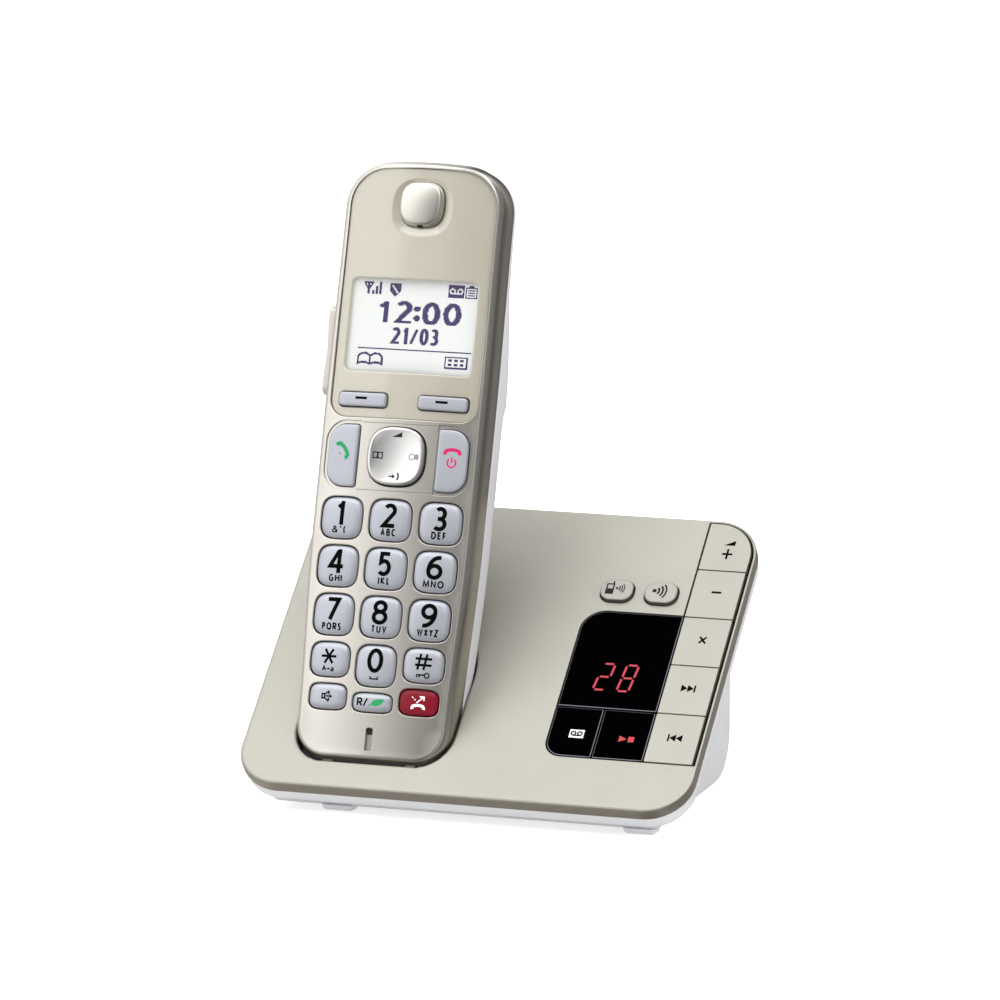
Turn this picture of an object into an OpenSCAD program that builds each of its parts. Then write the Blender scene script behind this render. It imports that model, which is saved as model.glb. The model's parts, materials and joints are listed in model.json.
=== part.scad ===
// Cordless desk telephone: a handset standing in the charging well of a wedge-shaped
// answering-machine base. Millimetres, +Z up, front of the phone towards -Y.
// The origin lies on the table, under the centre of the whole phone.

/* [Base] */
// Width of the sloping top over its metal-look band
base_w = 136; // [130:1:145]
// Length of the sloping top, measured up the slope
plate_len = 105.8; // [104:0.1:107]
// Slope of the top above the table, in degrees
plate_tilt = 40; // [38:1:42]
// Radius of the four corners of the top
plate_corner_r = 13.5; // [12:0.5:15]
// Height of the band around the top, square to the slope
band_h = 3.8; // [3.4:0.1:4.4]
// Depth of the pale tray below the band
tray_h = 5.8; // [5.4:0.1:6.4]
// Width of the wedge-shaped body under the tray
wedge_w = 116; // [114:1:120]
// Travel of a flat key on the base
base_key_travel = 0.6; // [0.3:0.1:0.8]

/* [Handset] */
// Length of the handset from foot to top
handset_len = 175; // [173:0.2:177]
// Widest width of the handset
handset_w = 50; // [49:0.1:51]
// Deepest depth of the handset, face to back
handset_d = 27; // [26:0.5:28]
// Lean of the docked handset above the table, in degrees
handset_tilt = 72; // [70:1:74]
// Sideways place of the docked handset on the base
handset_x = -29.1; // [-29.5:0.1:-27.5]
// Radius of the crowned face
crown_r = 170; // [150:5:220]
// Travel of a key on the handset
handset_key_travel = 0.8; // [0.4:0.1:0.8]

/* [Hidden] */
$fn = 48;
eps = 0.01;
far = 200;
table_z = 9;             // height of the slope's front edge above the table
tray_bevel = 1.2;        // bevel round the underside of the tray
tray_inset = 0.7;
// From the slope's front edge to the middle of the phone
centre_y = ((plate_len - tray_inset) * cos(plate_tilt)
    + (band_h + tray_h - tray_bevel) * sin(plate_tilt)) / 2;
wall = 1.8;
face_wall = 2.4;         // the handset's front wall

// Screws, and the posts that they hold
POSTS = [[-38, 66], [46, 67.6], [14, 22]];   // x, y in the base
post_r = 3;
post_low = -3.4;         // lower end of a post
screw_hole_r = 1.3;
screw_head_t = 1.2;

// The base: x across, y back and z up from the slope's front edge
bottom_z = -7.3;         // underside of the wedge
back_y = 82.3;           // back wall of the wedge
wedge_back_r = 14;
FEET = [[-38.5, 12], [52, 12], [-50, 60], [50, 60]];
foot_w = 10;
foot_len = 6;
speaker_x = 30;
speaker_z = 34;
speaker_r = 18;
slot_pitch = 3.2;        // slots in the wall behind the speaker
slot_w = 1.6;
slot_len = 26;
socket_z = 13;           // height of both sockets
power_x = -22;
power_r = 2.8;           // inside of the power socket
line_x = -3;

// The slope: u across, v up the slope, n square to it
band_t = 0.75;           // thickness of the band
plate_t = 2.2;
tray_t = 1.5;
tray_n = -band_h - tray_h;
gap = 0.35;              // gap round a flat key

column_u = 51.8;         // left edge of the key column
column_right = 66.4;
column_pitch = 17.5;
block_u = 22.2;          // left edge of the display block
block_split_u = 36.4;
block_split_v = 2 * column_pitch;
block_top_v = 4 * column_pitch;
block_r_top = 7;
block_r_low = 5;
key_cap_t = 1.6;
board_n = -5.2;          // top of the base's circuit board
board_t = 1.6;
base_stem_low = board_n + base_key_travel + 0.4;
base_stem_r = 1.8;
frame_n = -2.8;          // top of the dark frame under the base keys
frame_t = 0.8;

// name, left u, right u, lower v, upper v
BASE_KEYS = [
    ["volume_up_key", column_u, column_right, 5 * column_pitch, plate_len - band_t - gap],
    ["volume_down_key", column_u, column_right, 4 * column_pitch, 5 * column_pitch],
    ["erase_key", column_u, column_right, 3 * column_pitch, 4 * column_pitch],
    ["next_key", column_u, column_right, 2 * column_pitch, 3 * column_pitch],
    ["previous_key", column_u, column_right, column_pitch, 2 * column_pitch],
    ["message_key", block_u, block_split_u, column_pitch, block_split_v],
    ["play_key", block_split_u, column_u, column_pitch, block_split_v],
];
// name, centre u, centre v of the two raised oval keys
ROUND_KEYS = [["locator_key", 30, 77.4], ["intercom_key", 43.3, 77.4]];
round_key_w = 9.6;
round_key_h = 7.6;
round_key_r = 3.2;
round_key_up = 1.4;

// The handset: s across, t up from the foot, n out of the face
handset_v = 10.5;        // where the face meets the slope
foot_sink = 0.6;         // how far the foot's front edge sinks below the slope
seam_n = -11.5;          // seam between the front and the rear shell
foot_half_w = 23.5;
top_half_w = 24.6;
WAIST = [67, 112];       // the handset is widest between these
foot_r = 10;
top_r = 13.3;
shoulder_r = 3.4;        // round between the face and the sides
back_r = 9;
foot_d = 21;
shell_d = 25.1;          // depth below the battery cover
top_d = 14.5;
well_gap = 0.5;
well_foot_gap = 1.6;
well_wall = 1.3;
panel_rim = 2.4;         // the rim round the glossy upper panel
panel_low = 99.4;
panel_top = handset_len - panel_rim;
panel_half_w = 22.2;
panel_r = 5;
panel_sink = 0.6;
panel_t = 1.2;
screen_t = 126.5;
screen_w = 38.2;
screen_h = 27;
screen_r = 2;
ear_t = 162.1;
ear_w = 12.4;
ear_r = 5.2;
nav_t = 88.4;
nav_w = 16.8;
nav_r = 7;
side_key_t = 119.1;
side_key_len = 26;
side_key_n = -8;
side_key_w = 5;
side_key_out = 27;       // how far the side key reaches from the middle
side_pin_s = -24;        // the pin that the side key rocks on
side_pin_r = 0.4;
nav_axis_n = -3.3;       // the navigation key rocks left and right about this line
nav_axis_r = 0.5;
key_up = 0.9;            // how far a key stands above the face
key_gap = 0.3;
mat_n = -6.8;            // top of the rubber mat under the keys
mat_t = 1;
mat_pad_t = 0.2;
handset_stem_low = mat_n + mat_pad_t + handset_key_travel + 1;
pcb_t = 1.2;
ringer_t = 137;          // middle of the loudspeaker in the handset's back
ringer_pitch = 3;
door_low = 53;           // lower and upper edge of the battery cover
door_top = 105;
cell_s = 5.6;            // the two battery cells, either side of the middle
cell_r = 5.2;
cell_n = -19.9;
contact_s = 12.5;        // charging contacts, either side of the middle
contact_w = 3;
screw_t = 62;
SCREW_S = [-17, 17];

// name, centre s, centre t, width, height, corner radius
HANDSET_KEYS = [
    ["key_1", -15.0, 69.9, 12.4, 11.9, 4.2],
    ["key_2", 0, 69.9, 12.4, 11.9, 4.2],
    ["key_3", 15.0, 69.9, 12.4, 11.9, 4.2],
    ["key_4", -14.8, 55.9, 12.3, 11.8, 4.2],
    ["key_5", 0, 55.9, 12.3, 11.8, 4.2],
    ["key_6", 14.8, 55.9, 12.3, 11.8, 4.2],
    ["key_7", -14.5, 41.9, 12.1, 11.8, 4.2],
    ["key_8", 0, 41.9, 12.1, 11.8, 4.2],
    ["key_9", 14.5, 41.9, 12.1, 11.8, 4.2],
    ["key_star", -14.2, 28.9, 11.8, 9.8, 3.8],
    ["key_0", 0, 27.8, 11.8, 11.8, 4.2],
    ["key_hash", 14.2, 28.9, 11.8, 9.8, 3.8],
    ["speaker_key", -13.8, 18.2, 11.2, 7.2, 3.0],
    ["recall_key", 0, 17.2, 11.6, 5.3, 2.4],
    ["call_block_key", 13.8, 18.2, 11.2, 7.2, 3.0],
    ["soft_key_left", -12.2, 104.5, 14.5, 3.9, 1.0],
    ["soft_key_right", 12.2, 104.5, 14.5, 3.9, 1.0],
    ["talk_key", -16.6, 88.1, 9.0, 18.0, 3.4],
    ["off_key", 16.6, 88.1, 9.0, 18.0, 3.4],
];

FIXED_NODES = [
    "front_shell", "rear_shell", "face_panel", "lcd_window", "lcd_module", "earpiece_cap",
    "earpiece_speaker", "microphone", "handset_board", "keypad_mat", "handsfree_speaker",
    "battery_cells", "battery_contacts", "handset_charge_pads", "handset_screws",
    "battery_cover", "side_volume_key", "nav_pivot", "nav_key",
    "top_cover", "bottom_case", "key_frame", "display_window", "led_display", "base_board",
    "base_speaker", "left_charge_contact", "right_charge_contact", "rubber_feet",
    "power_jack", "line_jack", "base_screws",
];

// ---- Frames and outlines ----

// Children are drawn in base coordinates: Y and Z from the slope's front edge.
module in_base() translate([0, -centre_y, table_z]) children();

// Children are drawn on the slope: u, v, n.
module on_plate() in_base() rotate([plate_tilt, 0, 0]) children();

handset_y = handset_v * cos(plate_tilt) - foot_sink * cos(handset_tilt);
handset_z = handset_v * sin(plate_tilt) - foot_sink * sin(handset_tilt);

// Children are drawn on the handset: s, t, n, with the foot at t = 0.
module on_handset()
    in_base() translate([handset_x, handset_y, handset_z]) rotate([handset_tilt, 0, 0]) children();

// Children are drawn square to the crowned face at s, t.
module on_crown(s, t)
    translate([0, t, -crown_r]) rotate([0, asin(s / crown_r), 0]) translate([0, 0, crown_r]) children();

function arc(x, y, r, from, to, steps) =
    [for (i = [0:steps]) let (a = from + (to - from) * i / steps) [x + r * cos(a), y + r * sin(a)]];
function ease(x) = x <= 0 ? 0 : x >= 1 ? 1 : x * x * (3 - 2 * x);
function mirrored(points) = [for (i = [len(points) - 1:-1:0]) [-points[i][0], points[i][1]]];

// A rectangle with round corners, its lower left corner at x, y.
module rounded(x, y, w, h, r) {
    translate([x + r, y]) square([w - 2 * r, h]);
    translate([x, y + r]) square([w, h - 2 * r]);
    for (i = [0, 1], j = [0, 1])
        translate([x + r + i * (w - 2 * r), y + r + j * (h - 2 * r)]) circle(r);
}

module centred(w, h, r) rounded(-w / 2, -h / 2, w, h, r);

// A slab of an outline between two heights.
module slab(low, high) translate([0, 0, low]) linear_extrude(high - low) union() children();

module plate_outline(inset)
    rounded(-base_w / 2 + inset, inset, base_w - 2 * inset, plate_len - 2 * inset, plate_corner_r - inset);

// The handset seen from the front, grown by g.
function half_front(g) = concat(
    arc(foot_half_w - foot_r, foot_r, foot_r + g, -90, 0, 8),
    [for (t = WAIST) [handset_w / 2 + g, t]],
    arc(top_half_w - top_r, handset_len - 0.4 - top_r, top_r + g, 0, 84, 8),
    [[6, handset_len + g]]);
module front_outline(g) polygon(concat(half_front(g), mirrored(half_front(g))));

// Depth of the back at t: slim at the foot and the top, proud where the battery cover lies.
function back_n(t) = t < door_low ? -foot_d - (shell_d - foot_d) * ease(t / 35)
    : -handset_d + (handset_d - top_d) * ease((t - door_top) / (handset_len - door_top));

// The handset seen from the side as t, n, grown by g, and by g_foot below the foot.
module side_outline(g, g_foot) {
    below_door = [for (t = [4:6:34]) [t, back_n(t) - g]];
    door_step = [[door_low - g, back_n(door_low - eps) - g], [door_low - g + eps, back_n(door_low) - g]];
    above_door = [for (t = [door_top:10:handset_len]) [t, back_n(t) - g]];
    top_edge = [[handset_len + g, -top_d - g], [handset_len + g, -1.6], [handset_len - 1.2 + g, g]];
    foot_edge = [[2.5 - g_foot, g], [0.2 - g_foot, -2.2 + g], [-g_foot, -3]];
    foot_back = [[-g_foot, -foot_d + 5], [1 - g_foot, -foot_d + 1.5 - g]];
    polygon(concat(foot_back, below_door, door_step, above_door, top_edge, foot_edge));
}

// The crowned face, grown by g, at s.
function crown_n(s, g) = sqrt(pow(crown_r + g, 2) - s * s) - crown_r;

// Half of the handset's cross section as s, n, grown by g.
function half_section(g) =
    let (edge = handset_w / 2, top = edge - shoulder_r)
    concat(
        [[0, -handset_d - g], [12, -handset_d - g]],
        arc(edge - back_r, -handset_d + back_r, back_r + g, -78, 0, 6),
        arc(top, crown_n(top, 0) - shoulder_r, shoulder_r + g, 0, 82, 4),
        [for (i = [8:-1:0]) let (s = top * i / 8) [s, crown_n(s, g)]]);
module section_outline(g) polygon(concat(half_section(g), mirrored(half_section(g))));

// The whole handset as one solid, grown by g.
module handset_solid(g) intersection() {
    slab(-40, 10) front_outline(g);
    rotate([90, 0, 90]) slab(-40, 40) side_outline(g, g);
    translate([0, handset_len + 10, 0]) rotate([90, 0, 0])
        linear_extrude(handset_len + 20) section_outline(g);
}

module above(n) translate([-far, -far, n]) cube([2 * far, 2 * far, far]);
module below(n) translate([-far, -far, n - far]) cube([2 * far, 2 * far, far]);

// Everything more than a depth below the crowned face, over the handset's whole length.
module under_crown(depth)
    translate([0, far, -crown_r]) rotate([90, 0, 0])
        cylinder(r = crown_r - depth, h = 2 * far, $fn = 180);

// The layer between two depths below the crowned face.
module crown_skin(low, high) difference() {
    under_crown(low);
    under_crown(high);
}

// The panel seen from the front: the outline of the handset's top, with a rounded lower edge.
module panel_outline(inset) intersection() {
    front_outline(-panel_rim - inset);
    rounded(-panel_half_w + inset, panel_low + inset, 2 * (panel_half_w - inset), handset_len, panel_r);
}

// The raised earpiece seen from the front, grown by g.
module ear_outline(g) translate([0, ear_t]) centred(ear_w + 2 * g, ear_w + 2 * g, ear_r + g);

module nav_outline(g) translate([0, nav_t]) centred(nav_w + 2 * g, nav_w + 2 * g, nav_r + g);

// The holes that some of the handset's keys move in.
module key_holes(keys) for (k = keys) on_crown(k[1], k[2]) slab(-5, 5) key_outline(k, key_gap);

module key_outline(k, grow) centred(k[3] + 2 * grow, k[4] + 2 * grow, k[5] + grow);

// ---- Handset ----

module front_shell() color([0.72, 0.70, 0.64]) on_handset() difference() {
    intersection() {
        handset_solid(0);
        above(seam_n);
    }
    intersection() {
        handset_solid(-wall);
        under_crown(face_wall);
    }
    key_holes(HANDSET_KEYS);
    slab(-5, 5) nav_outline(0.4);
    intersection() {
        crown_skin(-1, panel_t + panel_sink);
        slab(-9, 9) panel_outline(-0.1);
    }
    translate([0, screen_t, 0]) slab(-5, 5) centred(screen_w + 3.6, screen_h + 4.6, 1);
    slab(-5, 5) ear_outline(0.4);
    microphone_slot();
    for (s = [-1, 1]) translate([s * contact_s - contact_w / 2 - 0.1, -1, -11.1])
        cube([contact_w + 0.2, 1.4, 8.8]);
    side_key_opening();
}

// The slot in the chin, with the sound hole through the wall at its top.
module microphone_slot() {
    translate([-1.2, 2.4, -1.2]) cube([2.4, 7.2, 5]);
    translate([-1.2, 8.2, -5]) cube([2.4, 1.4, 6]);
}

// The opening in the left side for the volume key. The key's pin is left standing across it.
module side_key_opening() difference() {
    translate([-30, side_key_t - side_key_len / 2 - 0.7, side_key_n - side_key_w / 2 - 0.3])
        cube([8, side_key_len + 1.4, side_key_w + 0.6]);
    side_pin(side_pin_r);
}

module side_pin(r) translate([side_pin_s, side_key_t, -14]) cylinder(r = r, h = 12);

module rear_shell() color([0.93, 0.93, 0.94]) on_handset() difference() {
    union() {
        difference() {
            intersection() {
                handset_solid(0);
                below(seam_n);
            }
            door_space(door_top + 0.2);
            intersection() {
                handset_solid(-wall);
                union() {
                    above(wall - shell_d);
                    translate([-far, door_top + 2, -far]) cube(2 * far);
                }
            }
        }
        translate([-12.7, 54.3, -shell_d]) cube([25.4, 49.9, 12]);
        for (s = SCREW_S) translate([s, screw_t, -shell_d]) cylinder(r = 3.4, h = 8);
    }
    translate([-11.5, 55.5, -26]) cube([23, 47.5, 11.7]);
    for (s = SCREW_S) translate([s, screw_t, -26]) {
        cylinder(r = 2.5, h = 2.6);
        cylinder(r = 1.4, h = 20);
    }
    for (i = [-2:2]) translate([-6, ringer_t + ringer_pitch * i - 0.7, -30]) cube([12, 1.4, 20]);
}

// The room that the battery cover takes, and slides in, behind the flat of the rear shell.
module door_space(top) translate([-30, -eps, -30]) cube([60, top, 30 - shell_d]);

module face_panel() color([0.80, 0.79, 0.72]) on_handset() difference() {
    intersection() {
        crown_skin(panel_sink, panel_sink + panel_t);
        slab(-9, 9) panel_outline(0);
    }
    translate([0, screen_t, 0]) slab(-5, 5) centred(screen_w, screen_h, screen_r);
    slab(-5, 5) ear_outline(0.4);
    translate([0, ear_t - 1, -0.75]) cylinder(r1 = 8, r2 = 9.6, h = 0.8);
    key_holes([for (k = HANDSET_KEYS) if (k[2] > panel_low) k]);
}

module lcd_window() color([0.9, 0.93, 0.95, 0.5]) on_handset() intersection() {
    crown_skin(panel_sink, panel_sink + panel_t);
    translate([0, screen_t, 0]) slab(-5, 5) centred(screen_w - 0.1, screen_h - 0.1, screen_r - 0.05);
}

module lcd_module() color([0.92, 0.94, 0.95]) on_handset()
    translate([0, screen_t, 0]) slab(-6.2, -3.2) centred(screen_w + 3, screen_h + 4, 1);

module earpiece_cap() color([0.75, 0.74, 0.71]) on_handset() {
    slab(-3.4, 1.9) ear_outline(0);
    slab(-4, -3.4) ear_outline(1.2);
}

module earpiece_speaker() color([0.2, 0.2, 0.21]) on_handset() translate([0, ear_t - 2, 0]) {
    translate([0, 0, -6.2]) cylinder(r = 8.5, h = 2.1);
    translate([0, 0, -8.4]) cylinder(r = 5, h = 2.2);
}

module microphone() color([0.15, 0.15, 0.16]) on_handset()
    translate([0, 8.9, -5.4]) cylinder(r = 2, h = 2.4);

module handset_board() color([0.12, 0.35, 0.2]) on_handset()
    translate([-21, 16, mat_n - mat_t - pcb_t]) cube([42, 134, pcb_t]);

module keypad_mat() color([0.75, 0.76, 0.8]) on_handset() {
    translate([-21, 14, mat_n - mat_t]) cube([42, 95, mat_t]);
    for (k = HANDSET_KEYS) translate([k[1], k[2], mat_n]) cylinder(r = 2.2, h = mat_pad_t);
}

module handsfree_speaker() color([0.2, 0.2, 0.21]) on_handset() translate([0, ringer_t, -16]) {
    cylinder(r = 9, h = 2.4);
    translate([0, 0, 2.4]) cylinder(r = 5, h = 2);
}

module battery_cells() color([0.25, 0.45, 0.3]) on_handset()
    for (side = [-1, 1]) translate([side * cell_s, 57, cell_n]) rotate([-90, 0, 0]) {
        cylinder(r = cell_r, h = 43.7);
        translate([0, 0, 43.7]) cylinder(r = 1.9, h = 0.8);
    }

module battery_contacts() color([0.8, 0.8, 0.78]) on_handset()
    for (t = [55.9, 101.7]) translate([-11, t, -24]) cube([22, 0.6, 8.6]);

module handset_charge_pads() color([0.85, 0.85, 0.83]) on_handset()
    for (side = [-1, 1]) translate([side * contact_s - contact_w / 2, -0.4, -11])
        cube([contact_w, 0.8, 8.6]);

module handset_screws() color([0.6, 0.6, 0.6]) on_handset()
    for (s = SCREW_S) translate([s, screw_t, -shell_d + 0.4]) {
        cylinder(r = 2.3, h = screw_head_t);
        cylinder(r = 1.3, h = 10);
    }

module battery_cover() color([0.93, 0.93, 0.94]) on_handset() intersection() {
    handset_solid(0);
    translate([0, 0, -0.1]) door_space(door_top);
    translate([-30, door_low, -30]) cube(60);
}

// A rocker on the handset's left side, on a pin through its middle.
module side_volume_key() color([0.78, 0.77, 0.73]) on_handset() difference() {
    translate([0, side_key_t, side_key_n]) rotate([0, 90, 0])
        slab(-side_key_out, -22.6) centred(side_key_w, side_key_len, 2);
    side_pin(side_pin_r + 0.1);
}

// The line that the navigation key rocks on, left and right, along the handset.
module nav_axis(r, len)
    translate([0, nav_t - len / 2, nav_axis_n]) rotate([-90, 0, 0]) cylinder(r = r, h = len);

module nav_pivot() color([0.3, 0.3, 0.32]) on_handset() {
    translate([0, nav_t, -4.6]) cylinder(r = 2.2, h = 1.3);
    translate([-6, nav_t, -4.6]) rotate([0, 90, 0]) cylinder(r = 0.6, h = 12);
    nav_axis(nav_axis_r, 3);
}

module nav_key() color([0.85, 0.85, 0.86]) on_handset() difference() {
    union() {
        slab(-2.7, 1.6) nav_outline(0);
        translate([0, nav_t, -3.2]) cylinder(r = 2, h = 0.6);
    }
    nav_axis(nav_axis_r + 0.1, 3.4);
}

module handset_key(k) {
    tint = k[0] == "call_block_key" ? [0.55, 0.09, 0.13] : [0.76, 0.77, 0.81];
    color(tint) on_handset() on_crown(k[1], k[2]) {
        slab(-3.4, key_up) key_outline(k, 0);
        translate([0, 0, handset_stem_low]) cylinder(r = 1.6, h = -3.3 - handset_stem_low);
    }
}

// ---- Base ----

// The space that the docked handset's foot takes, grown by g all round.
module foot_space(g) intersection() {
    slab(-40, 60) {
        front_outline(g);
        translate([0, well_gap - well_foot_gap]) front_outline(g);
    }
    rotate([90, 0, 90]) slab(-40, 40) {
        side_outline(g, well_foot_gap + g - well_gap);
        translate([-well_foot_gap - g + well_gap, -4]) square([90, 64]);
    }
}

module base_key_outline(k, inset) intersection() {
    translate([k[1] + inset, k[3] + inset]) square([k[2] - k[1] - 2 * inset, k[4] - k[3] - 2 * inset]);
    union() {
        plate_outline(band_t + gap);
        translate([block_u, 0]) square([column_u - block_u, block_top_v]);
    }
}

module display_block_outline(inset) {
    x = block_u + inset;
    y = column_pitch + inset;
    difference() {
        translate([x, y]) square([column_u - x, block_top_v - inset - y]);
        translate([x, block_top_v - inset - block_r_top]) corner_cut(block_r_top);
        translate([x, y + block_r_low]) mirror([0, 1]) corner_cut(block_r_low);
    }
}

// What a round of radius r takes off an upper left corner.
module corner_cut(r) difference() {
    translate([-1, 0]) square([r + 1, r + 1]);
    translate([r, 0]) circle(r);
}

// The hole in the top for the display block and the key column.
module key_well_outline() {
    display_block_outline(-gap);
    intersection() {
        translate([column_u - 0.1, column_pitch - gap]) square([far, far]);
        plate_outline(band_t);
    }
}

module top_cover() color([0.74, 0.73, 0.67]) difference() {
    union() {
        on_plate() difference() {
            slab(-band_h, 0) plate_outline(0);
            slab(-band_h - 1, -plate_t) plate_outline(band_t);
        }
        intersection() {
            union() {
                on_handset() foot_space(well_gap + well_wall);
                at_posts(post_low) cylinder(r = post_r, h = 80);
            }
            on_plate() below(-plate_t + eps);
        }
    }
    on_handset() difference() {
        foot_space(well_gap);
        for (side = [-1, 1]) translate([side * 7 - 1, -9, -17]) cube([2, 8.9, 12]);
    }
    on_plate() slab(-4, 1) key_well_outline();
    for (k = ROUND_KEYS) on_plate() translate([k[1], k[2]])
        slab(-4, 1) centred(round_key_w + 2 * gap, round_key_h + 2 * gap, round_key_r + gap);
    on_handset() for (side = [-1, 1]) translate([side * contact_s - 2, -8, -12]) cube([4, 8, 8.5]);
    at_posts(-4) cylinder(r = screw_hole_r, h = 11);
}

// Children stand upright at each screw post, from height z.
module at_posts(z) in_base() for (p = POSTS) translate([p[0], p[1], z]) children();

// The wedge-shaped body, its walls moved in by an inset.
module wedge(inset) {
    under_slope = inset > 0 ? [[back_y - inset, 61], [6.3, -1.3]] : [[back_y, 57.3], [8.2, -5.1]];
    rotate([90, 0, 90]) slab(-wedge_w / 2 + inset, wedge_w / 2 - inset) polygon(concat(
        [[8 + inset, bottom_z + inset]],
        arc(back_y - wedge_back_r, bottom_z + wedge_back_r, wedge_back_r - inset, -90, 0, 12),
        under_slope));
}

module bottom_case() color([0.93, 0.93, 0.94]) difference() {
    union() {
        difference() {
            union() {
                on_plate() {
                    slab(tray_n + tray_bevel, -band_h) plate_outline(tray_inset);
                    slab(tray_n, tray_n + tray_bevel) plate_outline(tray_inset + 1);
                }
                in_base() wedge(0);
            }
            on_plate() slab(tray_n + wall, 1) plate_outline(tray_inset + tray_t);
            in_base() wedge(wall);
        }
        at_posts(bottom_z + 1) cylinder(r = 3.4, h = 2.8);
    }
    at_posts(bottom_z) {
        translate([0, 0, -1]) cylinder(r = post_r, h = 2.3);
        cylinder(r = 1.5, h = 8);
    }
    in_base() for (i = [-4:4])
        translate([speaker_x - slot_len / 2, back_y - 4, speaker_z + slot_pitch * i - slot_w / 2])
            cube([slot_len, 6, slot_w]);
    in_base() translate([power_x, back_y - 4, socket_z]) rotate([-90, 0, 0])
        cylinder(r = power_r + 0.6, h = 6);
    in_base() translate([line_x - 5.4, back_y - 4, socket_z - 4]) cube([10.8, 6, 9.3]);
}

module key_frame() color([0.08, 0.08, 0.08]) on_plate() difference() {
    slab(frame_n - frame_t, frame_n) intersection() {
        translate([block_u - 2, column_pitch - 2.5]) square([far, far]);
        plate_outline(band_t + 0.1);
    }
    for (k = BASE_KEYS) translate([(k[1] + k[2]) / 2, (k[3] + k[4]) / 2, -6]) cylinder(r = 2.4, h = 5);
    for (k = ROUND_KEYS) translate([k[1], k[2]])
        slab(-6, 0) centred(round_key_w + 2.4, round_key_h + 1, 3.6);
    translate([29.5, 38, -6]) cube([16, 17, 6]);
    post_holes();
}

// Upright holes, on the slope, for the screw posts.
module post_holes() rotate([-plate_tilt, 0, 0])
    for (p = POSTS) translate([p[0], p[1], -20]) cylinder(r = post_r + 0.6, h = 120);

module display_window() color([0.01, 0.01, 0.01]) on_plate() slab(-key_cap_t, 0) intersection() {
    display_block_outline(0);
    translate([0, block_split_v + gap / 2]) square([column_u - gap / 2, far]);
}

module led_display() color([0.15, 0.02, 0.02]) on_plate()
    slab(board_n, -key_cap_t - 0.1) translate([30.5, 39.5]) square([14, 14]);

module base_board() color([0.1, 0.35, 0.18]) on_plate() difference() {
    slab(board_n - board_t, board_n) translate([16, 14]) square([46, 84]);
    post_holes();
}

module base_speaker() color([0.18, 0.18, 0.19])
    in_base() translate([speaker_x, back_y - wall - 3.1, speaker_z]) rotate([-90, 0, 0]) {
        cylinder(r = speaker_r, h = 3);
        translate([0, 0, -4]) cylinder(r1 = speaker_r / 2, r2 = speaker_r - 2, h = 4);
        translate([0, 0, -9]) cylinder(r = speaker_r / 2, h = 5);
    }

// A bent spring strip: it touches the handset's pad and runs down behind it.
module charge_contact(side) color([0.85, 0.82, 0.75]) on_handset()
    translate([side * contact_s - contact_w / 2, 0, -10.5]) {
        translate([0, -0.95, 0]) cube([contact_w, 0.4, 6]);
        translate([0, -6, 0]) cube([contact_w, 5.4, 0.4]);
    }

module left_charge_contact() charge_contact(-1);
module right_charge_contact() charge_contact(1);

module rubber_feet() color([0.82, 0.83, 0.85]) in_base() for (p = FEET)
    translate([p[0], p[1], -table_z]) slab(0, table_z + bottom_z) centred(foot_w, foot_len, 1.5);

module power_jack() color([0.1, 0.1, 0.1]) in_base() translate([power_x, back_y - wall - 0.1, socket_z]) {
    difference() {
        translate([-4.5, -11, -5]) cube([9, 11, 10]);
        translate([0, -9, 0]) rotate([-90, 0, 0]) cylinder(r = power_r, h = 10);
    }
    translate([0, -9, 0]) rotate([-90, 0, 0]) cylinder(r = 0.7, h = 8);
}

module line_jack() color([0.12, 0.12, 0.12]) in_base() translate([line_x, back_y - wall - 0.1, socket_z])
    difference() {
        translate([-7, -13, -6]) cube([14, 13, 12.4]);
        translate([-5, -11.5, -3.6]) cube([10, 12, 7.2]);
        translate([-2, -11.5, 3.5]) cube([4, 12, 1.4]);
    }

module base_screws() color([0.55, 0.55, 0.55]) at_posts(bottom_z + 0.1) {
    cylinder(r = 2.7, h = screw_head_t);
    translate([0, 0, screw_head_t]) cylinder(r = screw_hole_r - 0.05, h = 9);
}

module base_key(k) {
    dark = k[0] == "message_key" || k[0] == "play_key";
    color(dark ? [0.01, 0.01, 0.01] : [0.84, 0.83, 0.77]) on_plate() {
        slab(-key_cap_t, 0) intersection() {
            base_key_outline(k, gap / 2);
            if (dark) display_block_outline(gap / 2);
            else square([far, far]);
        }
        translate([(k[1] + k[2]) / 2, (k[3] + k[4]) / 2, base_stem_low])
            cylinder(r = base_stem_r, h = eps - key_cap_t - base_stem_low);
    }
}

module round_key(k) color([0.62, 0.61, 0.57]) on_plate() translate([k[1], k[2], 0]) {
    slab(-2.4, round_key_up) centred(round_key_w, round_key_h, round_key_r);
    slab(-3.2, -2.4) centred(round_key_w + 1.6, round_key_h, round_key_r);
    translate([0, 0, base_stem_low]) cylinder(r = base_stem_r, h = eps - 3.2 - base_stem_low);
}

front_shell();
rear_shell();
face_panel();
lcd_window();
lcd_module();
earpiece_cap();
earpiece_speaker();
microphone();
handset_board();
keypad_mat();
handsfree_speaker();
battery_cells();
battery_contacts();
handset_charge_pads();
handset_screws();
battery_cover();
side_volume_key();
nav_pivot();
nav_key();
top_cover();
bottom_case();
key_frame();
display_window();
led_display();
base_board();
base_speaker();
left_charge_contact();
right_charge_contact();
rubber_feet();
power_jack();
line_jack();
base_screws();
for (k = HANDSET_KEYS) handset_key(k);
for (k = BASE_KEYS) base_key(k);
for (k = ROUND_KEYS) round_key(k);
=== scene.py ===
"""A cordless telephone: a champagne handset docked in a sloping answering base."""

import json
import math

import bmesh
import bpy
import numpy as np
from mathutils import Matrix, Vector
from mathutils.geometry import delaunay_2d_cdt

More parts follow.
